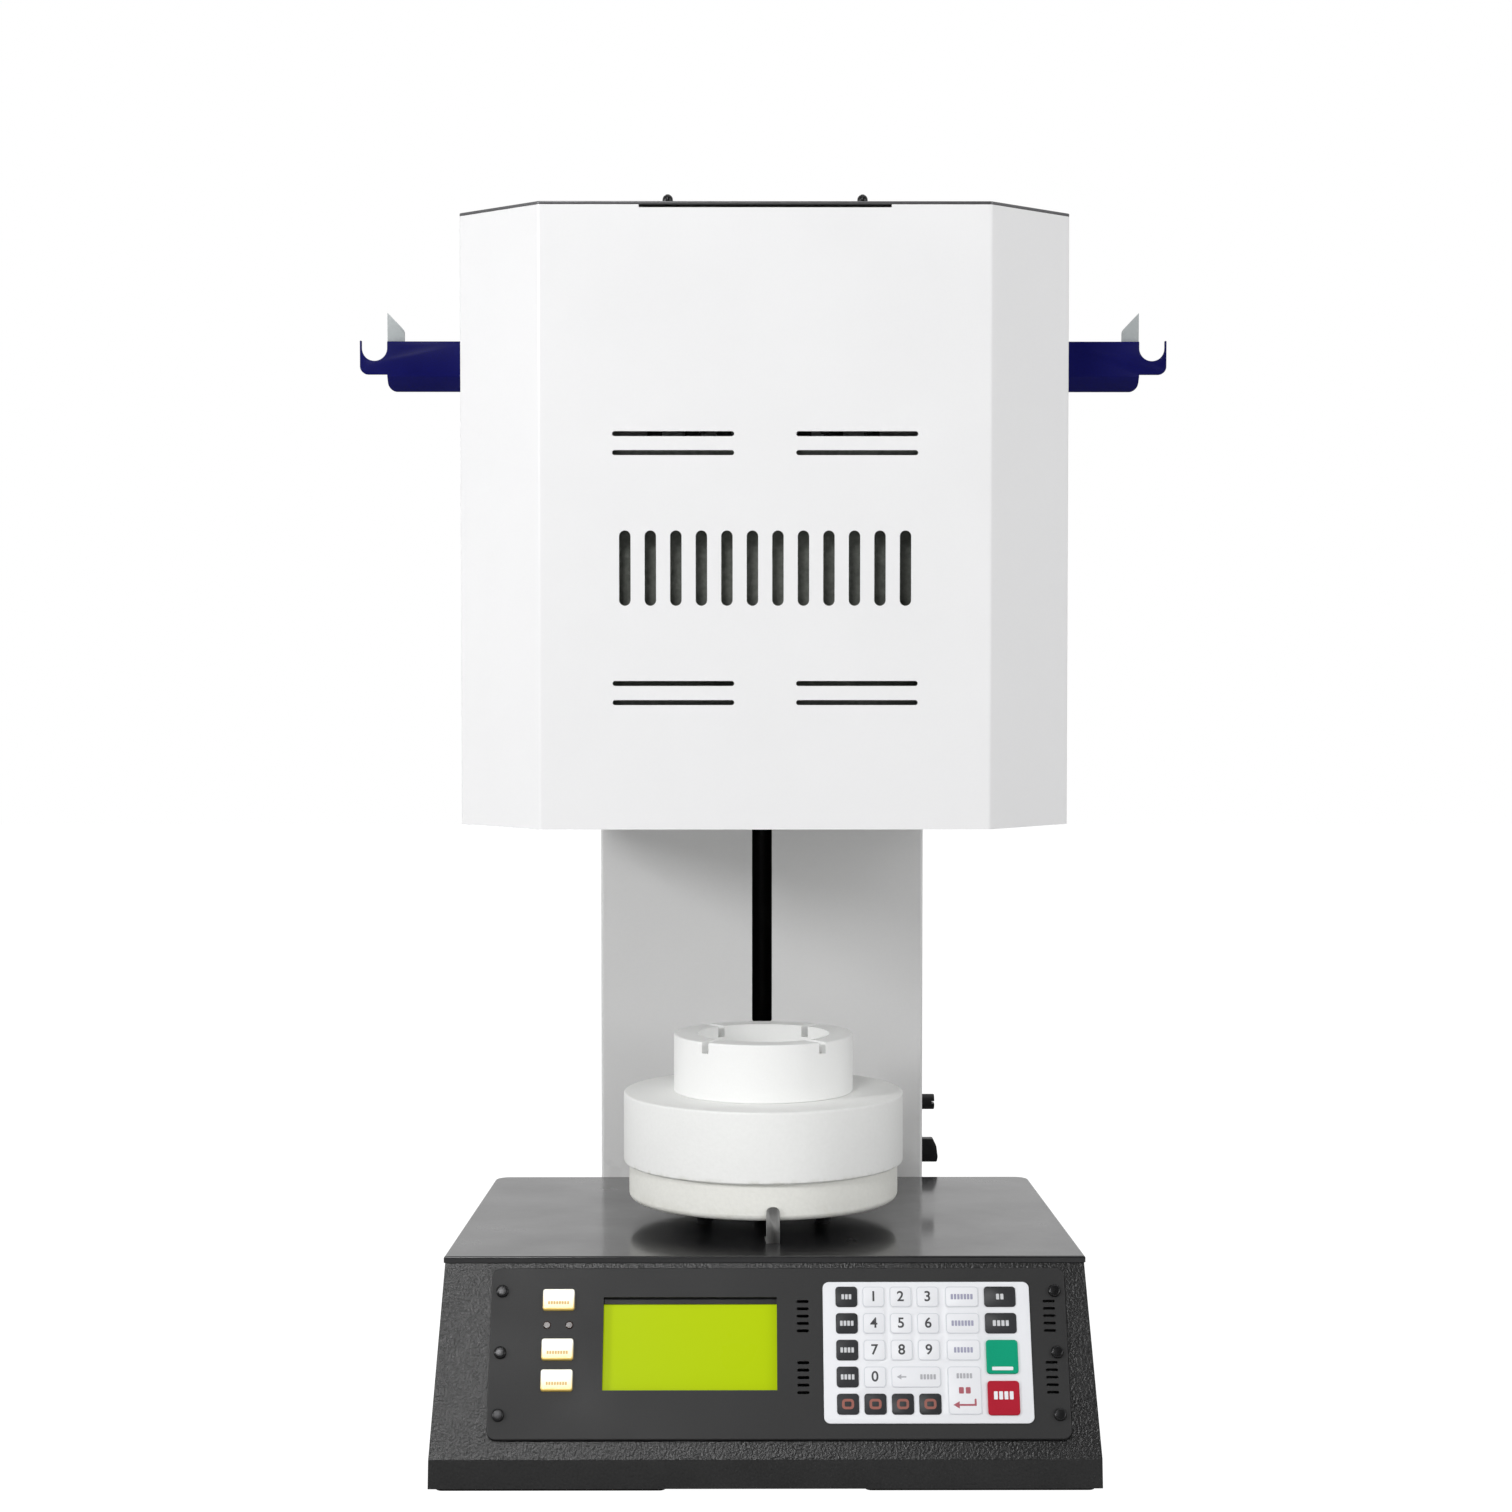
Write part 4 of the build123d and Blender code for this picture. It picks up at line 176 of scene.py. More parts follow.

# %% [markdown]
# ## Hooks, steel and alloy
# The hooks are powder coated blue and the fins behind them light grey. The clips are bare steel with
# brush lines, which are a noise stretched along one axis. The stand and the lead screw are steel painted
# near black as shade, so the gap under the lower disc and the column's slot stay dark. The jacket inside
# the head has gone dull and greenish grey with heat.

# %% Finishes of the metals
hook_blue = finish("hook_blue_powder", (0.001, 0.0015, 0.085), 0.42, vary=0.3, grain=1200, bump=0.00002,
                   specular=0.15)
fin_grey = finish("fin_grey_enamel", (0.42, 0.45, 0.455), 0.4, vary=0.04, bump=0.00001)
# The stand is steel painted near black as shade, standing in for the dark gap under the lower disc.
stand_painted_shade = finish("stand_painted_shade_steel", (0.02, 0.02, 0.02), 0.6, vary=0.3, grain=800,
                     bump=0.00002, specular=0.3)
# The lead screw is steel painted near black as shade, so the column's slot stays dark.
lead_screw_shade = finish("lead_screw_painted_shade_steel", (0.03, 0.03, 0.03), 0.45, vary=0.3, grain=900, metal=0.6)
plain_steel = finish("brushed_plain_steel", (0.5, 0.5, 0.49), 0.32, vary=0.12, grain=1500, bump=0.000008,
                     stretch=(1, 1, 0.06), metal=1.0)
jacket_steel = finish("heat_dulled_steel", (0.2, 0.21, 0.19), 0.55, vary=0.25, grain=300, bump=0.00004,
                      metal=0.8)
alloy = finish("machined_alloy", (0.68, 0.69, 0.7), 0.35, vary=0.05, grain=1800, stretch=(0.05, 1, 1),
               bump=0.000006, metal=1.0)
bronze = finish("bearing_bronze", (0.52, 0.34, 0.14), 0.35, vary=0.12, grain=900, metal=1.0, bump=0.000006)
print("metal finishes ready")

# %% [markdown]
# ## Ceramics
# The discs are pressed ceramic fibre: chalky, slightly cream, with small pits and faint stains. The
# crucible is finer and whiter. The heating elements wear a dark glassy glaze that greys with use.

# %% Finishes of the ceramics
fibre = finish("ceramic_fibre_board", (0.93, 0.935, 0.92), 0.85, vary=0.02, spread=0.05, grain=420,
               bump=0.00012)
lower_fibre = finish("lower_disc_fibre", (0.92, 0.92, 0.87), 0.85, vary=0.03, spread=0.05, grain=380,
                     bump=0.00012)
# Painted shade: a ragged darker, yellower band along the lower disc's underside over the dark gap above
# the lid, and a darker band along the seam where the upper disc sits on the lower one.
painted_shade_at(lower_fibre, "Z", 0.146, 0.01, (0.72, 0.7, 0.6, 1), 0.3)
painted_shade_at(fibre, "Z", 0.1705, 0.003, (0.6, 0.6, 0.52, 1), 0.45)
crucible_white = finish("crucible_alumina", (0.95, 0.955, 0.945), 0.5, vary=0.015, grain=700, bump=0.00004)
element_grey = finish("element_glaze", (0.12, 0.12, 0.125), 0.35, vary=0.3, grain=240, bump=0.00005)
print("ceramic finishes ready")

# %% [markdown]
# ## Plastics, films and lamps
# The keypad is a printed film, so it has a very fine even grain. The keys shine a little more than the
# film. Feet are rubber, and the switch, fuse and inlet are moulded plastic with a slight flow pattern.

# %% Finishes of plastics and films
black_plastic = finish("moulded_black_plastic", (0.012, 0.012, 0.013), 0.4, vary=0.25, grain=1400, bump=0.00001,
                       specular=0.35)
rubber = finish("foot_rubber", (0.02, 0.02, 0.02), 0.8, vary=0.3, grain=600, bump=0.00008)
keypad_film = finish("keypad_film", (0.82, 0.83, 0.86), 0.42, vary=0.012, grain=2400, bump=0.000006)
key_dark = finish("dark_key_film", (0.03, 0.031, 0.034), 0.38, vary=0.2, grain=2000, bump=0.000006,
                  specular=0.3)
key_green = finish("green_key_film", (0.001, 0.32, 0.175), 0.38, vary=0.08, grain=2000,
                   bump=0.000006, specular=0.12)
key_red = finish("red_key_film", (0.42, 0.012, 0.03), 0.38, vary=0.08, grain=2000, bump=0.000006,
                 specular=0.12)
print_ink = finish("key_print_ink", (0.05, 0.05, 0.055), 0.5, vary=0.15, grain=2500)
pale_ink = finish("pale_print_ink", (0.42, 0.42, 0.45), 0.5, vary=0.1, grain=2500)
light_ink = finish("light_print_ink", (0.6, 0.61, 0.63), 0.5, vary=0.08, grain=2500)
outline_ink = finish("key_outline_ink", (0.62, 0.64, 0.68), 0.5, vary=0.06, grain=2500)
rust_ink = finish("rust_print_ink", (0.3, 0.1, 0.075), 0.5, vary=0.12, grain=2500)
ruby_ink = finish("ruby_print_ink", (0.42, 0.1, 0.13), 0.5, vary=0.12, grain=2500)
blue_ink = finish("blue_print_ink", (0.34, 0.34, 0.46), 0.5, vary=0.1, grain=2500)
orange_ink = finish("orange_print_ink", (0.72, 0.45, 0.14), 0.45, vary=0.06, grain=2500)
led_dark = finish("indicator_lens", (0.03, 0.012, 0.008), 0.3, vary=0.4, cloud_scale=300,
                  coat=0.3, coat_rough=0.05, specular=0.3)
board_green = finish("board_solder_mask", (0.02, 0.16, 0.07), 0.35, vary=0.2, grain=400, bump=0.00003)
print("plastic finishes ready")

# %% [markdown]
# ## Lit surfaces
# The display and the three push buttons glow. A glow is emission, and it is kept low, so that the
# colour stays true. The buttons run from white at the top to yellow at the bottom: a dot product with
# the direction up the slope gives the height on the button, and a colour ramp turns it into colour.

# %% The slope of the base, and finishes that glow
SLOPE_RUN = 62.0
SLOPE_RISE = 112.0
SLOPE_FOOT = Vector((8.4, -225.75, 20.0))
PANEL_UP_SLOPE = 65.3
SLOPE = math.atan2(SLOPE_RUN, SLOPE_RISE)
UP_SLOPE = Vector((0, math.sin(SLOPE), math.cos(SLOPE)))
OUT_OF_SLOPE = Vector((0, -math.cos(SLOPE), math.sin(SLOPE)))
PANEL_CENTRE = SLOPE_FOOT * MM + UP_SLOPE * PANEL_UP_SLOPE * MM


def glow_up_slope(material, low, high, bottom, top, strength):
    """Makes a finish glow with colours that run up the slope between two places on the panel, in mm."""
    tree = material.node_tree
    shader = tree.nodes["Principled BSDF"]
    place = tree.nodes.new("ShaderNodeTexCoord")
    climb = tree.nodes.new("ShaderNodeVectorMath")
    climb.operation = "DOT_PRODUCT"
    climb.inputs[1].default_value = UP_SLOPE
    start = PANEL_CENTRE.dot(UP_SLOPE)
    ramp = tree.nodes.new("ShaderNodeValToRGB")
    ramp.color_ramp.elements[0].color = bottom
    ramp.color_ramp.elements[1].color = top
    tree.links.new(place.outputs["Object"], climb.inputs[0])
    height = remap(tree, climb.outputs["Value"], start + low * MM, start + high * MM, 0, 1)
    tree.links.new(height, ramp.inputs["Fac"])
    tree.links.new(ramp.outputs["Color"], shader.inputs["Base Color"])
    tree.links.new(ramp.outputs["Color"], shader.inputs["Emission Color"])
    shader.inputs["Emission Strength"].default_value = strength
    return material


lcd_green = glow_up_slope(finish("display_backlight", (0.47, 0.62, 0.001), 0.3, specular=0.05), -24, 35,
                          (0.27, 0.36, 0.0003, 1), (0.28, 0.37, 0.0005, 1), 0.72)
BUTTON_ROWS = {"top": 33.2, "middle": 1.9, "bottom": -17.4}
button_glow = {}
for place, y in BUTTON_ROWS.items():
    lens = finish(f"button_glow_{place}", (0.9, 0.9, 0.8), 0.3, coat=0.4)
    button_glow[place] = glow_up_slope(lens, y - 6.5, y + 4, (0.88, 0.62, 0.16, 1),
                                       (0.96, 0.95, 0.84, 1), 0.18)
print("slope", round(math.degrees(SLOPE), 2), "degrees")

# %% [markdown]
# ## Put the finishes on the frame's nodes
# Every node of the frame gets one finish. A table keeps that readable: one line for each finish, with
# the nodes that wear it. Nodes that a detailed piece replaces later are in it too, and do no harm.

# %% Dress every node
WEARS = {
    head_white: "head_casing head_rear_panel", head_lid_steel: "head_top_plate",
    stand_painted_shade: "pedestal_stand", lead_screw_shade: "lead_screw",
    column_grey: "column_shell column_rear_cover column_cap",
    base_black: "base_shell", lid_black: "base_lid", panel_grey: "panel_plate", hook_blue: "tool_hooks",
    fin_grey: "hook_fins", jacket_steel: "inner_jacket",
    plain_steel: "chassis_plate pedestal_clips guide_rods head_bottom_plate",
    alloy: "rod_plates carriage_block carriage_arm power_controller element_straps",
    fibre: "pedestal_upper_disc insulation_lower_ring insulation_chamber_rings insulation_roof "
           "element_holders",
    lower_fibre: "pedestal_lower_disc", crucible_white: "crucible",
    element_grey: "heating_elements power_transformer", bronze: "carriage_bushings lead_screw_nut",
    black_plastic: "cover_screws head_screws lcd_module push_button_housings fan_frame fan_rotor "
                   "lift_motor limit_sensors power_switch_housing power_switch_rocker fuse_holder "
                   "fuse_cap mains_inlet thermocouple",
    rubber: "base_feet", lcd_green: "lcd_window", led_dark: "panel_leds", keypad_film: "keypad_membrane",
    key_dark: "keypad_dark_keys", key_green: "keypad_green_key", key_red: "keypad_red_key",
    board_green: "control_board",
    button_glow["top"]: "push_button_top", button_glow["middle"]: "push_button_middle",
    button_glow["bottom"]: "push_button_bottom",
}
dressed = {}
for material, names in WEARS.items():
    for name in names.split():
        nodes[name].data.materials.clear()
        nodes[name].data.materials.append(material)
        dressed[name] = material
print("bare nodes:", sorted(set(nodes) - set(dressed)))

# %% [markdown]
# ## Soften the edges of folded and moulded pieces
# A folded sheet or a moulded cap never has a knife edge, and a rounded one catches a thin line of
# light. A node's mesh is loose triangles, so a copy is merged and its flat areas dissolved, and then
# every edge sharper than 35 degrees is bevelled. The copy stands in for its node on the same body.

# %% Helper: add a piece to the scene
def add_piece(name, bm, material, body, flat_above=400):
    """Turns a bmesh into a shaded object that moves with a body. Faces above an area in mm2 stay flat."""
    mesh = bpy.data.meshes.new(name)
    bm.to_mesh(mesh)
    bm.free()
    for face in mesh.polygons:
        face.use_smooth = face.area < flat_above * MM * MM
    mesh.set_sharp_from_angle(angle=math.radians(32))
    mesh.materials.append(material)
    piece = bpy.data.objects.new(name, mesh)
    bpy.context.scene.collection.objects.link(piece)
    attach(piece, body)
    return piece


# %% Bevel copies of the pieces with visible edges
body_of = {node: body for body, names in frame["record"]["behaviour"]["bodies"].items() for node in names}
SOFTENED = {
    "tool_hooks": 0.4, "hook_fins": 0.3, "head_top_plate": 0.5, "pedestal_clips": 0.25, "column_cap": 0.4,
    "keypad_dark_keys": 0.2, "keypad_membrane": 0.2, "base_feet": 0.5, "fuse_holder": 0.4,
    "power_switch_housing": 0.4, "power_switch_rocker": 0.5, "carriage_arm": 0.6, "carriage_block": 0.8,
    "mains_inlet": 0.3, "element_straps": 0.4, "element_holders": 0.8, "power_controller": 0.3,
}
SHARP = math.radians(35)
FLAT_FACE = 120
for name, width in SOFTENED.items():
    bm = bmesh.new()
    bm.from_mesh(nodes[name].data)
    bmesh.ops.remove_doubles(bm, verts=bm.verts, dist=0.000002)
    bmesh.ops.dissolve_limit(bm, angle_limit=math.radians(1), verts=bm.verts, edges=bm.edges)
    sharp = [e for e in bm.edges if len(e.link_faces) == 2 and e.calc_face_angle(0) > SHARP]
    bmesh.ops.bevel(bm, geom=sharp, offset=width * MM, segments=2, profile=0.5, affect="EDGES", material=-1)
    piece = add_piece(f"{name}_soft", bm, dressed[name], body_of[name], FLAT_FACE)
    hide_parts(name)
    print(name, len(sharp), "edges bevelled")

# %% [markdown]
# ## Places on the panel
# Everything on the control panel sits on a slope. A matrix built from the slope's three directions
# takes a flat drawing in millimetres to its place there, so marks are drawn flat and then moved.

# %% Helpers for flat marks on the panel
PANEL_TO_ROW = Matrix((
    (1, 0, 0, PANEL_CENTRE.x), (0, UP_SLOPE.y, OUT_OF_SLOPE.y, PANEL_CENTRE.y),
    (0, UP_SLOPE.z, OUT_OF_SLOPE.z, PANEL_CENTRE.z), (0, 0, 0, 1),
)) @ Matrix.Scale(MM, 4)
PAD_X = 91.7
KEY_PITCH = 16.8
KEY_TOP = 4.5
BIG_KEY_TOP = 5.2
DARK_COLUMN = PAD_X - 49.5
DIGIT_COLUMNS = [DARK_COLUMN + KEY_PITCH * step for step in (1, 2, 3)]
TEXT_COLUMN = PAD_X + 22.2
RIGHT_COLUMN = PAD_X + 45.9
ROWS = [34.7 - KEY_PITCH * step for step in range(5)]
GREEN_KEY_Y = -3.3
RED_KEY_Y = -28.9


def plate(bm, x, y, out, width, height, radius, thick=0.06, rim=0.0):
    """Adds a thin rounded plate, or only its rim, at a place on the panel in mm."""
    flat = bmesh.new()
    corners = bmesh.ops.create_grid(flat, x_segments=1, y_segments=1, size=0.5)["verts"]
    bmesh.ops.scale(flat, vec=(width, height, 1), verts=corners)
    bmesh.ops.bevel(flat, geom=corners, offset=radius, segments=4, profile=0.5, affect="VERTICES",
                    material=-1)
    if rim:
        middle = flat.faces[:]
        bmesh.ops.inset_region(flat, faces=middle, thickness=rim, use_even_offset=True, use_boundary=True)
        bmesh.ops.delete(flat, geom=middle, context="FACES")
    lifted = bmesh.ops.extrude_face_region(flat, geom=flat.faces[:])["geom"]
    upper = [v for v in lifted if isinstance(v, bmesh.types.BMVert)]
    bmesh.ops.translate(flat, vec=(0, 0, thick), verts=upper)
    bmesh.ops.recalc_face_normals(flat, faces=flat.faces[:])
    bmesh.ops.translate(flat, vec=(x, y, out), verts=flat.verts[:])
    join(bm, flat)


def join(bm, part):
    """Moves a flat drawing in mm to the panel and adds it to a bmesh."""
    part.transform(PANEL_TO_ROW)
    mesh = bpy.data.meshes.new("drawing")
    part.to_mesh(mesh)
    part.free()
    bm.from_mesh(mesh)
    bpy.data.meshes.remove(mesh)


def figure(bm, text, x, y, out, size):
    """Adds a raised figure, such as a key's number, at a place on the panel."""
    curve = bpy.data.curves.new("figure", "FONT")
    curve.body = text
    curve.size = size
    curve.align_x = "CENTER"
    curve.align_y = "CENTER"
    curve.extrude = 0.03
    curve.offset = size * 0.016
    holder = bpy.data.objects.new("figure", curve)
    mesh = bpy.data.meshes.new_from_object(holder)
    part = bmesh.new()
    part.from_mesh(mesh)
    bmesh.ops.translate(part, vec=(x, y, out + 0.03), verts=part.verts[:])
    join(bm, part)
    bpy.data.objects.remove(holder)
    bpy.data.curves.remove(curve)
    bpy.data.meshes.remove(mesh)


# %% [markdown]
# ## What is printed on the keypad
# The light keys carry plain numbers inside thin grey outlines. The function keys get neutral bars and
# arrows rather than words, in the inks that the real film has. Numbers start as text objects, because
# Blender sets type well, and become meshes before they go to their place.

# %% Numbers and outlines
FIGURE_SIZE = 9.0
numbers = bmesh.new()
for index, figure_text in enumerate("123456789"):
    figure(numbers, figure_text, DIGIT_COLUMNS[index % 3], ROWS[index // 3], KEY_TOP, FIGURE_SIZE)
figure(numbers, "0", DIGIT_COLUMNS[0], ROWS[3], KEY_TOP, FIGURE_SIZE)
add_piece("keypad_numbers", numbers, print_ink, "base")

KEY_WIDTH = 13.4
TEXT_KEY_WIDTH = 20.4
KEY_HEIGHT = 12.8
ENTER_Y = (ROWS[3] + ROWS[4]) / 2


def outline(bm, x, y, width, height=KEY_HEIGHT):
    """Adds the thin printed outline of a light key."""
    plate(bm, x, y, KEY_TOP - 0.02, width, height, 2.1, rim=0.45)


outlines = bmesh.new()
for row in ROWS[:3]:
    for x in DIGIT_COLUMNS:
        outline(outlines, x, row, KEY_WIDTH)
    outline(outlines, TEXT_COLUMN, row, TEXT_KEY_WIDTH)
outline(outlines, DIGIT_COLUMNS[0], ROWS[3], KEY_WIDTH)
outline(outlines, (DIGIT_COLUMNS[1] + DIGIT_COLUMNS[2]) / 2, ROWS[3], KEY_WIDTH + KEY_PITCH)
outline(outlines, TEXT_COLUMN, ENTER_Y, TEXT_KEY_WIDTH, KEY_HEIGHT + KEY_PITCH)
add_piece("keypad_outlines", outlines, outline_ink, "base")
print("numbers and outlines placed")

# %% Neutral marks on the function keys
def arrow(bm, x, y, out, length, stem, head):
    """Adds an arrow that points to the left."""
    part = bmesh.new()
    tip = bmesh.ops.create_cone(part, cap_ends=True, segments=3, radius1=head, radius2=head,
                                depth=0.06)["verts"]
    quarter = Matrix.Rotation(math.radians(90), 3, "Z")
    bmesh.ops.rotate(part, cent=(0, 0, 0), matrix=quarter, verts=tip)
    bmesh.ops.translate(part, vec=(x - length / 2 + head * 0.5, y, out + 0.03), verts=tip)
    join(bm, part)
    plate(bm, x + head * 0.5, y, out, length - head, stem, stem * 0.3)


def blocks(bm, x, y, out, count, width, height):
    """Adds a row of small upright bars that stand in for the letters of a word."""
    for step in range(count):
        plate(bm, x + (step - (count - 1) / 2) * width * 1.4, y, out, width, height, width * 0.2)


text_marks = bmesh.new()
for row, letters in zip(ROWS, (7, 7, 6)):
    blocks(text_marks, TEXT_COLUMN, row, KEY_TOP, letters, 1.45, 3.4)
add_piece("keypad_text_marks", text_marks, blue_ink, "base")

grey_marks = bmesh.new()
arrow(grey_marks, DIGIT_COLUMNS[1], ROWS[3], KEY_TOP, 5.0, 0.9, 1.9)
blocks(grey_marks, DIGIT_COLUMNS[2] - 1.0, ROWS[3], KEY_TOP, 5, 1.45, 3.2)
blocks(grey_marks, TEXT_COLUMN, ROWS[3] + 0.6, KEY_TOP, 5, 1.45, 3.2)
add_piece("keypad_grey_marks", grey_marks, pale_ink, "base")

enter_mark = bmesh.new()
blocks(enter_mark, TEXT_COLUMN, ENTER_Y, KEY_TOP, 2, 3.0, 4.0)
arrow(enter_mark, TEXT_COLUMN, ROWS[4] - 0.6, KEY_TOP, 12.0, 1.2, 2.6)
plate(enter_mark, TEXT_COLUMN + 6.4, ROWS[4] + 1.0, KEY_TOP, 1.2, 4.4, 0.3)
add_piece("keypad_enter_mark", enter_mark, ruby_ink, "base")

light_marks = bmesh.new()
for row, letters in zip(ROWS, (3, 4, 4, 4)):
    blocks(light_marks, DARK_COLUMN, row, KEY_TOP, letters, 1.6, 3.2)
blocks(light_marks, RIGHT_COLUMN, ROWS[0], KEY_TOP, 2, 1.9, 3.6)
blocks(light_marks, RIGHT_COLUMN, ROWS[1], KEY_TOP, 4, 1.9, 3.6)
add_piece("keypad_light_marks", light_marks, light_ink, "base")

white_marks = bmesh.new()
plate(white_marks, RIGHT_COLUMN, GREEN_KEY_Y - 7.4, BIG_KEY_TOP, 13.0, 2.2, 0.5)
blocks(white_marks, RIGHT_COLUMN, RED_KEY_Y + 1.5, BIG_KEY_TOP, 4, 2.3, 5.0)
add_piece("keypad_white_marks", white_marks, keypad_film, "base")

rust_marks = bmesh.new()
for x in (DARK_COLUMN, *DIGIT_COLUMNS):
    plate(rust_marks, x, ROWS[4], KEY_TOP, 7.4, 6.4, 2.2, rim=1.6)
add_piece("keypad_rust_marks", rust_marks, rust_ink, "base")
print("function keys marked")

# %% [markdown]
# ## Bars on the lit buttons
# Each lit button has a row of faint orange blocks near its lower edge, in the place of a word. The row
# moves with its button, so it rides on the button's own body and not on the base.

# %% Bars of the three push buttons
BUTTON_X = -136.5
BUTTON_TOP = 5.5
for place, y in BUTTON_ROWS.items():
    bar = bmesh.new()
    blocks(bar, BUTTON_X, y - 2.4, BUTTON_TOP, 8, 1.2, 2.0)
    add_piece(f"button_bar_{place}", bar, orange_ink, f"button_{place}")
print("bars on", len(BUTTON_ROWS), "buttons")

# %% [markdown]
# ## Screws with a socket
# A button-head screw is a flat dome with a six-sided socket. The dome could be a sphere cut off, but a
# cone with a bevelled upper rim has the right low profile. The socket is an inset of the top face
# pushed down. One screw is made in millimetres and copied to every place by a matrix.

# %% Helper: one screw
def screw_head(bm, size, stand):
    """Adds a button head with a hexagon socket, standing on the plane z = 0 of a matrix."""
    radius, height, socket = size
    part = bmesh.new()
    bmesh.ops.create_cone(part, cap_ends=True, segments=48, radius1=radius, radius2=radius, depth=height)
    bmesh.ops.translate(part, vec=(0, 0, height / 2), verts=part.verts[:])
    upper = [e for e in part.edges if all(v.co.z > height * 0.9 for v in e.verts)]
    bmesh.ops.bevel(part, geom=upper, offset=height * 0.62, segments=5, profile=0.5, affect="EDGES",
                    material=-1)
    top = max(part.faces, key=lambda face: face.calc_center_median().z + face.calc_area())
    bmesh.ops.delete(part, geom=[top], context="FACES_ONLY")
    rim = [e for e in part.edges if e.is_boundary]
    hexagon = bmesh.ops.create_circle(part, cap_ends=False, segments=6, radius=socket)["verts"]
    bmesh.ops.translate(part, vec=(0, 0, height), verts=hexagon)
    hex_edges = [e for e in part.edges if all(v in hexagon for v in e.verts)]
    bmesh.ops.bridge_loops(part, edges=rim + hex_edges)
    walls = bmesh.ops.extrude_edge_only(part, edges=hex_edges)["geom"]
    low = [v for v in walls if isinstance(v, bmesh.types.BMVert)]
    bmesh.ops.translate(part, vec=(0, 0, -height * 0.6), verts=low)
    walls = [e for e in walls if isinstance(e, bmesh.types.BMEdge)]
    bmesh.ops.contextual_create(part, geom=[e for e in walls if all(v in low for v in e.verts)])
    bmesh.ops.recalc_face_normals(part, faces=part.faces[:])
    part.transform(stand @ Matrix.Scale(MM, 4))
    mesh = bpy.data.meshes.new("screw")
    part.to_mesh(mesh)
    part.free()
    bm.from_mesh(mesh)
    bpy.data.meshes.remove(mesh)


def facing(direction, place):
    """Matrix that stands a screw on a place in mm, pointing in a direction."""
    turn = Vector(direction).to_track_quat("Z", "Y").to_matrix().to_4x4()
    return Matrix.Translation(Vector(place) * MM) @ turn


# %% Screws of the panel and the column's cover
PANEL_SCREW = (3.9, 2.2, 1.7)
CASE_SCREW = (4.2, 2.5, 1.7)
STUD = (3.2, 5.0, 1.2)
PANEL_THICK = 3.0
BACK = (0, 1, 0)
screw_steel = finish("blackened_screw_steel", (0.025, 0.025, 0.026), 0.26, vary=0.2, grain=900, metal=0.7,
                     bump=0.000008)
cover = bmesh.new()
for side in (-1, 1):
    for row in (-1, 0, 1):
        along = Vector((side * 171.8, 0, 0)) + UP_SLOPE * row * 38.8
        spot = PANEL_CENTRE / MM + along + OUT_OF_SLOPE * PANEL_THICK
        screw_head(cover, PANEL_SCREW, facing(OUT_OF_SLOPE, spot))
    for row in range(4):
        screw_head(cover, CASE_SCREW, facing(BACK, (side * 107.0, 223.25, 30.0 + row * 210.0)))
cover_heads = add_piece("cover_screw_heads", cover, screw_steel, "base")
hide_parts("cover_screws")

# %% Screws and studs of the head
head = bmesh.new()
for side in (-1, 1):
    screw_head(head, STUD, facing((0, 0, 1), (side * 59.5, -184.75, 784.5)))
    for z in (465.0, 592.0, 719.0):
        screw_head(head, CASE_SCREW, facing((side, 0, 0), (side * 191.0, 25.25, z)))
    for y in (-12.25, -29.25):
        screw_head(head, CASE_SCREW, facing((side, 0, 0), (side * 194.0, y, 703.0)))
    for z in (485.5, 587.5):
        screw_head(head, CASE_SCREW, facing(BACK, (side * 46.0, 90.25, z)))
head_heads = add_piece("head_screw_heads", head, screw_steel, "head")
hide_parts("head_screws")
print("screws made")

# %% [markdown]
# ## Floor and world
# The photograph is a cut-out on white. The floor and the world look white to the camera by their Light
# Path, so no extra light falls on the object, and the floor still shows a soft shadow. Mirrored rays
# find the world darker in front of the object, because the real room behind the camera was dark.

# %% A white floor
FLOOR_SEEN = 0.75
floor_bm = bmesh.new()
bmesh.ops.create_grid(floor_bm, x_segments=1, y_segments=1, size=6.0)
floor_mesh = bpy.data.meshes.new("floor")
floor_bm.to_mesh(floor_mesh)
floor_bm.free()
floor = bpy.data.objects.new("floor", floor_mesh)
bpy.context.scene.collection.objects.link(floor)
floor_white = bpy.data.materials.new("floor_white")
floor_white.use_nodes = True
tree = floor_white.node_tree
path = tree.nodes.new("ShaderNodeLightPath")
glow = tree.nodes.new("ShaderNodeEmission")
glow.inputs["Strength"].default_value = 1.36
mix = tree.nodes.new("ShaderNodeMixShader")
matt = tree.nodes["Principled BSDF"]
matt.inputs["Base Color"].default_value = (0.6, 0.6, 0.6, 1)
matt.inputs["Roughness"].default_value = 0.9
tree.links.new(remap(tree, path.outputs["Is Camera Ray"], 0, 1, 0, FLOOR_SEEN), mix.inputs["Fac"])
tree.links.new(matt.outputs["BSDF"], mix.inputs[1])
tree.links.new(glow.outputs["Emission"], mix.inputs[2])
tree.links.new(mix.outputs["Shader"], tree.nodes["Material Output"].inputs["Surface"])
floor_mesh.materials.append(floor_white)

print("white floor")

# %% A white world with a darker front in mirrored rays
WORLD_LIGHT = 0.34
MIRRORED = 0.6
DARK_FRONT = 0.9
world = bpy.data.worlds.new("studio")
bpy.context.scene.world = world
world.use_nodes = True
tree = world.node_tree


def calculate(operation, first, second):
    """Joins two values of the world's nodes by one operation."""
    node = tree.nodes.new("ShaderNodeMath")
    node.operation = operation
    node.use_clamp = operation == "SUBTRACT"
    tree.links.new(first, node.inputs[0])
    tree.links.new(second, node.inputs[1])
    return node.outputs["Value"]


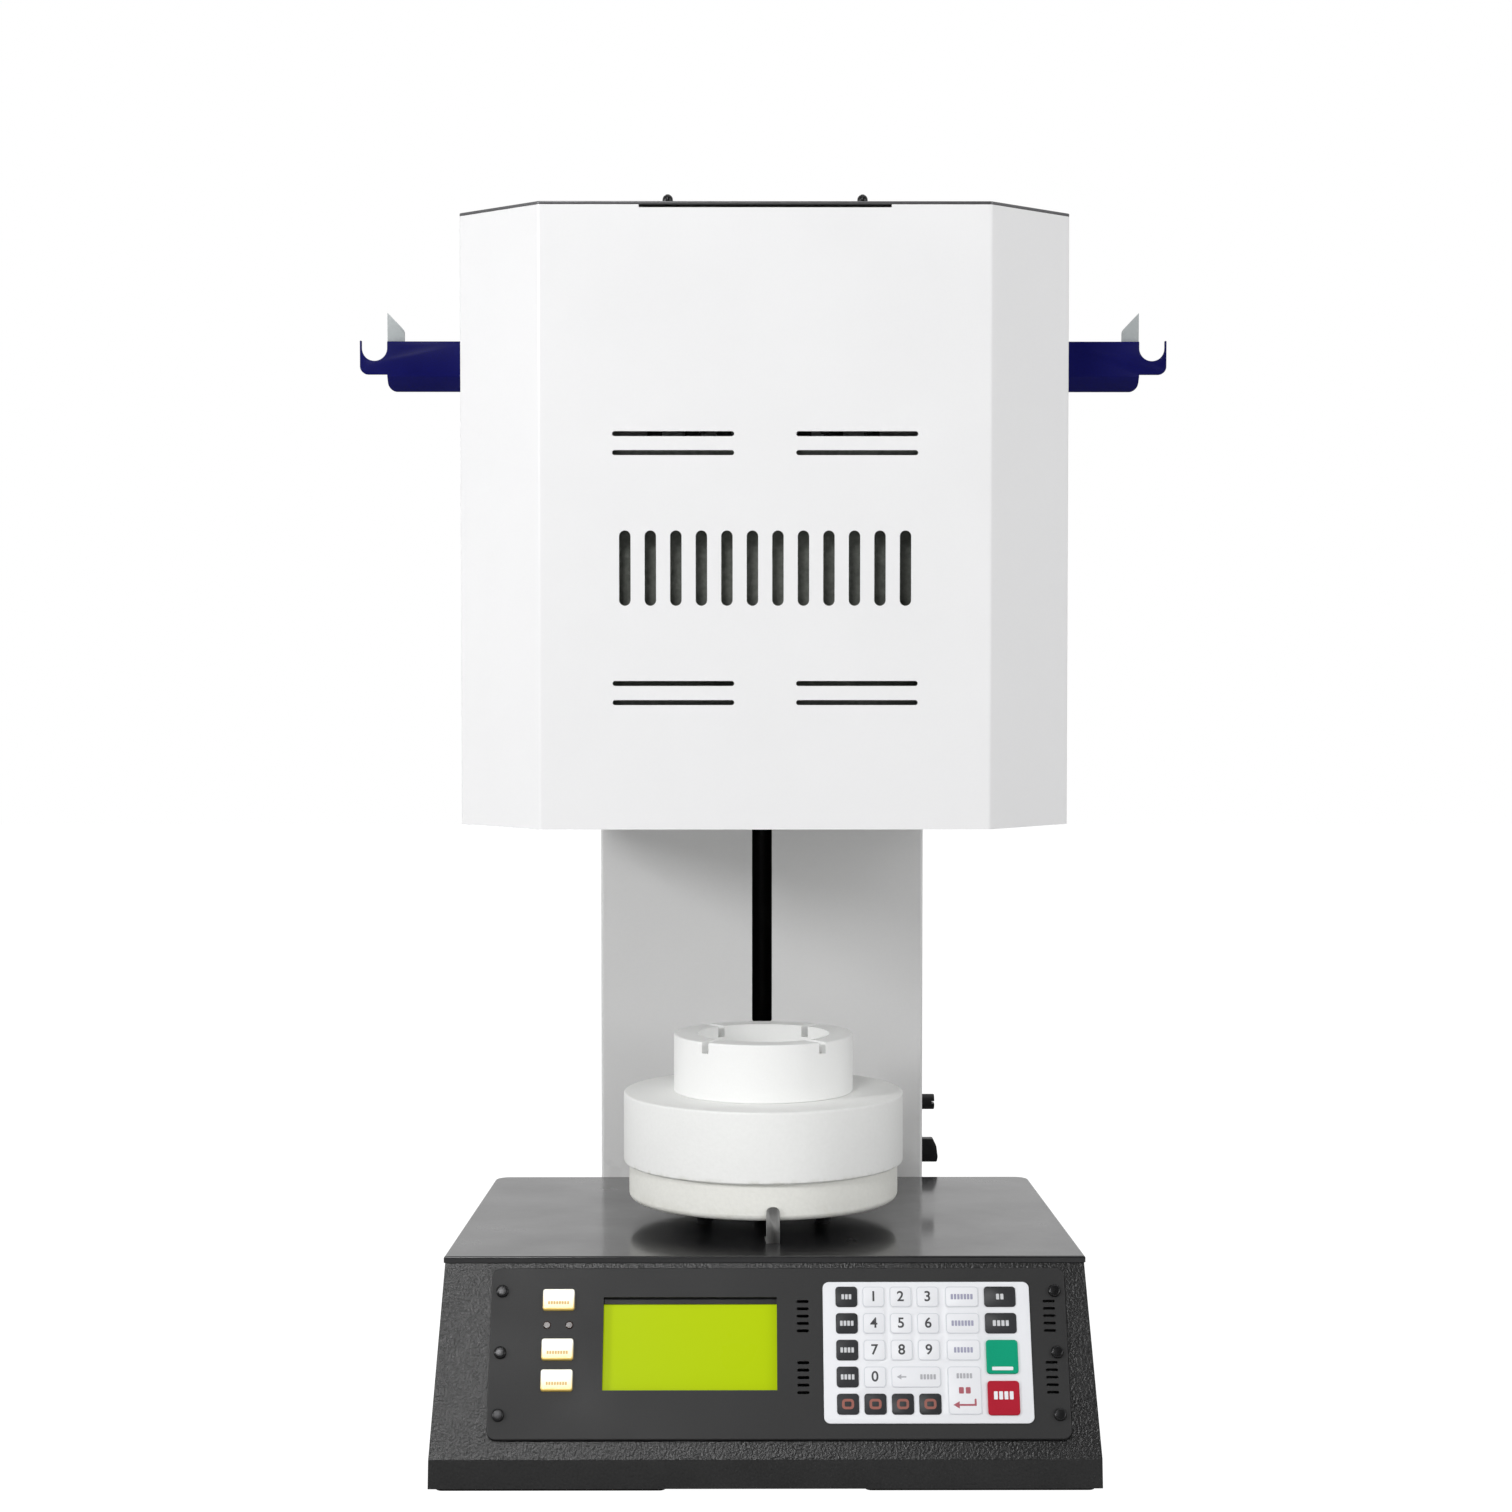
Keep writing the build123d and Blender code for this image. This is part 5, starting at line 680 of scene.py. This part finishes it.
path = tree.nodes.new("ShaderNodeLightPath")
seen = calculate("MAXIMUM", path.outputs["Is Camera Ray"], path.outputs["Is Transmission Ray"])
shown = calculate("MAXIMUM", seen, remap(tree, path.outputs["Is Glossy Ray"], 0, 1, 0, MIRRORED))
direction = tree.nodes.new("ShaderNodeTexCoord")
parts = tree.nodes.new("ShaderNodeSeparateXYZ")
tree.links.new(direction.outputs["Generated"], parts.inputs["Vector"])
in_front = remap(tree, parts.outputs["Y"], -0.7, 0.1, DARK_FRONT, 0.0)
darker = calculate("MULTIPLY", in_front, path.outputs["Is Glossy Ray"])
level = calculate("SUBTRACT", remap(tree, shown, 0, 1, WORLD_LIGHT, 1.0), darker)
tree.links.new(level, tree.nodes["Background"].inputs["Strength"])
tree.nodes["Background"].inputs["Color"].default_value = (1, 1, 1, 1)
print("white world")

# %% [markdown]
# ## Lamps
# A small lamp from the left grazes past the head's edge, and so draws its slanting shadow on the column.
# A high one stands where the base's slope mirrors it to the camera, which gives the sheen on the powder
# coat. Two large ones fill the right side and the top.

# %% Lamps
def soft_lamp(name, place, target, size, power):
    """Adds a square area lamp that faces a target."""
    light = bpy.data.lights.new(name, "AREA")
    light.size = size
    light.energy = power
    lamp = bpy.data.objects.new(name, light)
    lamp.location = place
    lamp.rotation_euler = (Vector(target) - Vector(place)).to_track_quat("-Z", "Y").to_euler()
    bpy.context.scene.collection.objects.link(lamp)


soft_lamp("side key", (-1.92, -1.30, 1.06), (0, 0, 0.3), 0.45, 23)
soft_lamp("high sheen", (-0.5, -2.05, 1.9), (0, -0.1, 0.2), 0.46, 15)
soft_lamp("right fill", (1.9, -1.5, 1.0), (0, 0, 0.35), 1.2, 16)
soft_lamp("top", (0.2, -0.3, 2.4), (0, 0, 0.3), 1.4, 6)

# %% [markdown]
# ## Camera
# The photograph was taken from about two metres away, a little above the middle and almost straight
# on. The place, the tilt and the focal length were found by fitting the object's known edges to it.

# %% Camera and colour
camera = bpy.data.cameras.new("camera")
camera.sensor_width = 36.0
camera.lens = 70.04
camera.clip_end = 50.0
eye = bpy.data.objects.new("camera", camera)
eye.location = (-0.0139, -1.9942, 0.522)
eye.rotation_euler = (math.radians(90) - 0.0418, 0, -0.0046)
bpy.context.scene.collection.objects.link(eye)
bpy.context.scene.camera = eye
bpy.context.scene.view_settings.view_transform = "Standard"
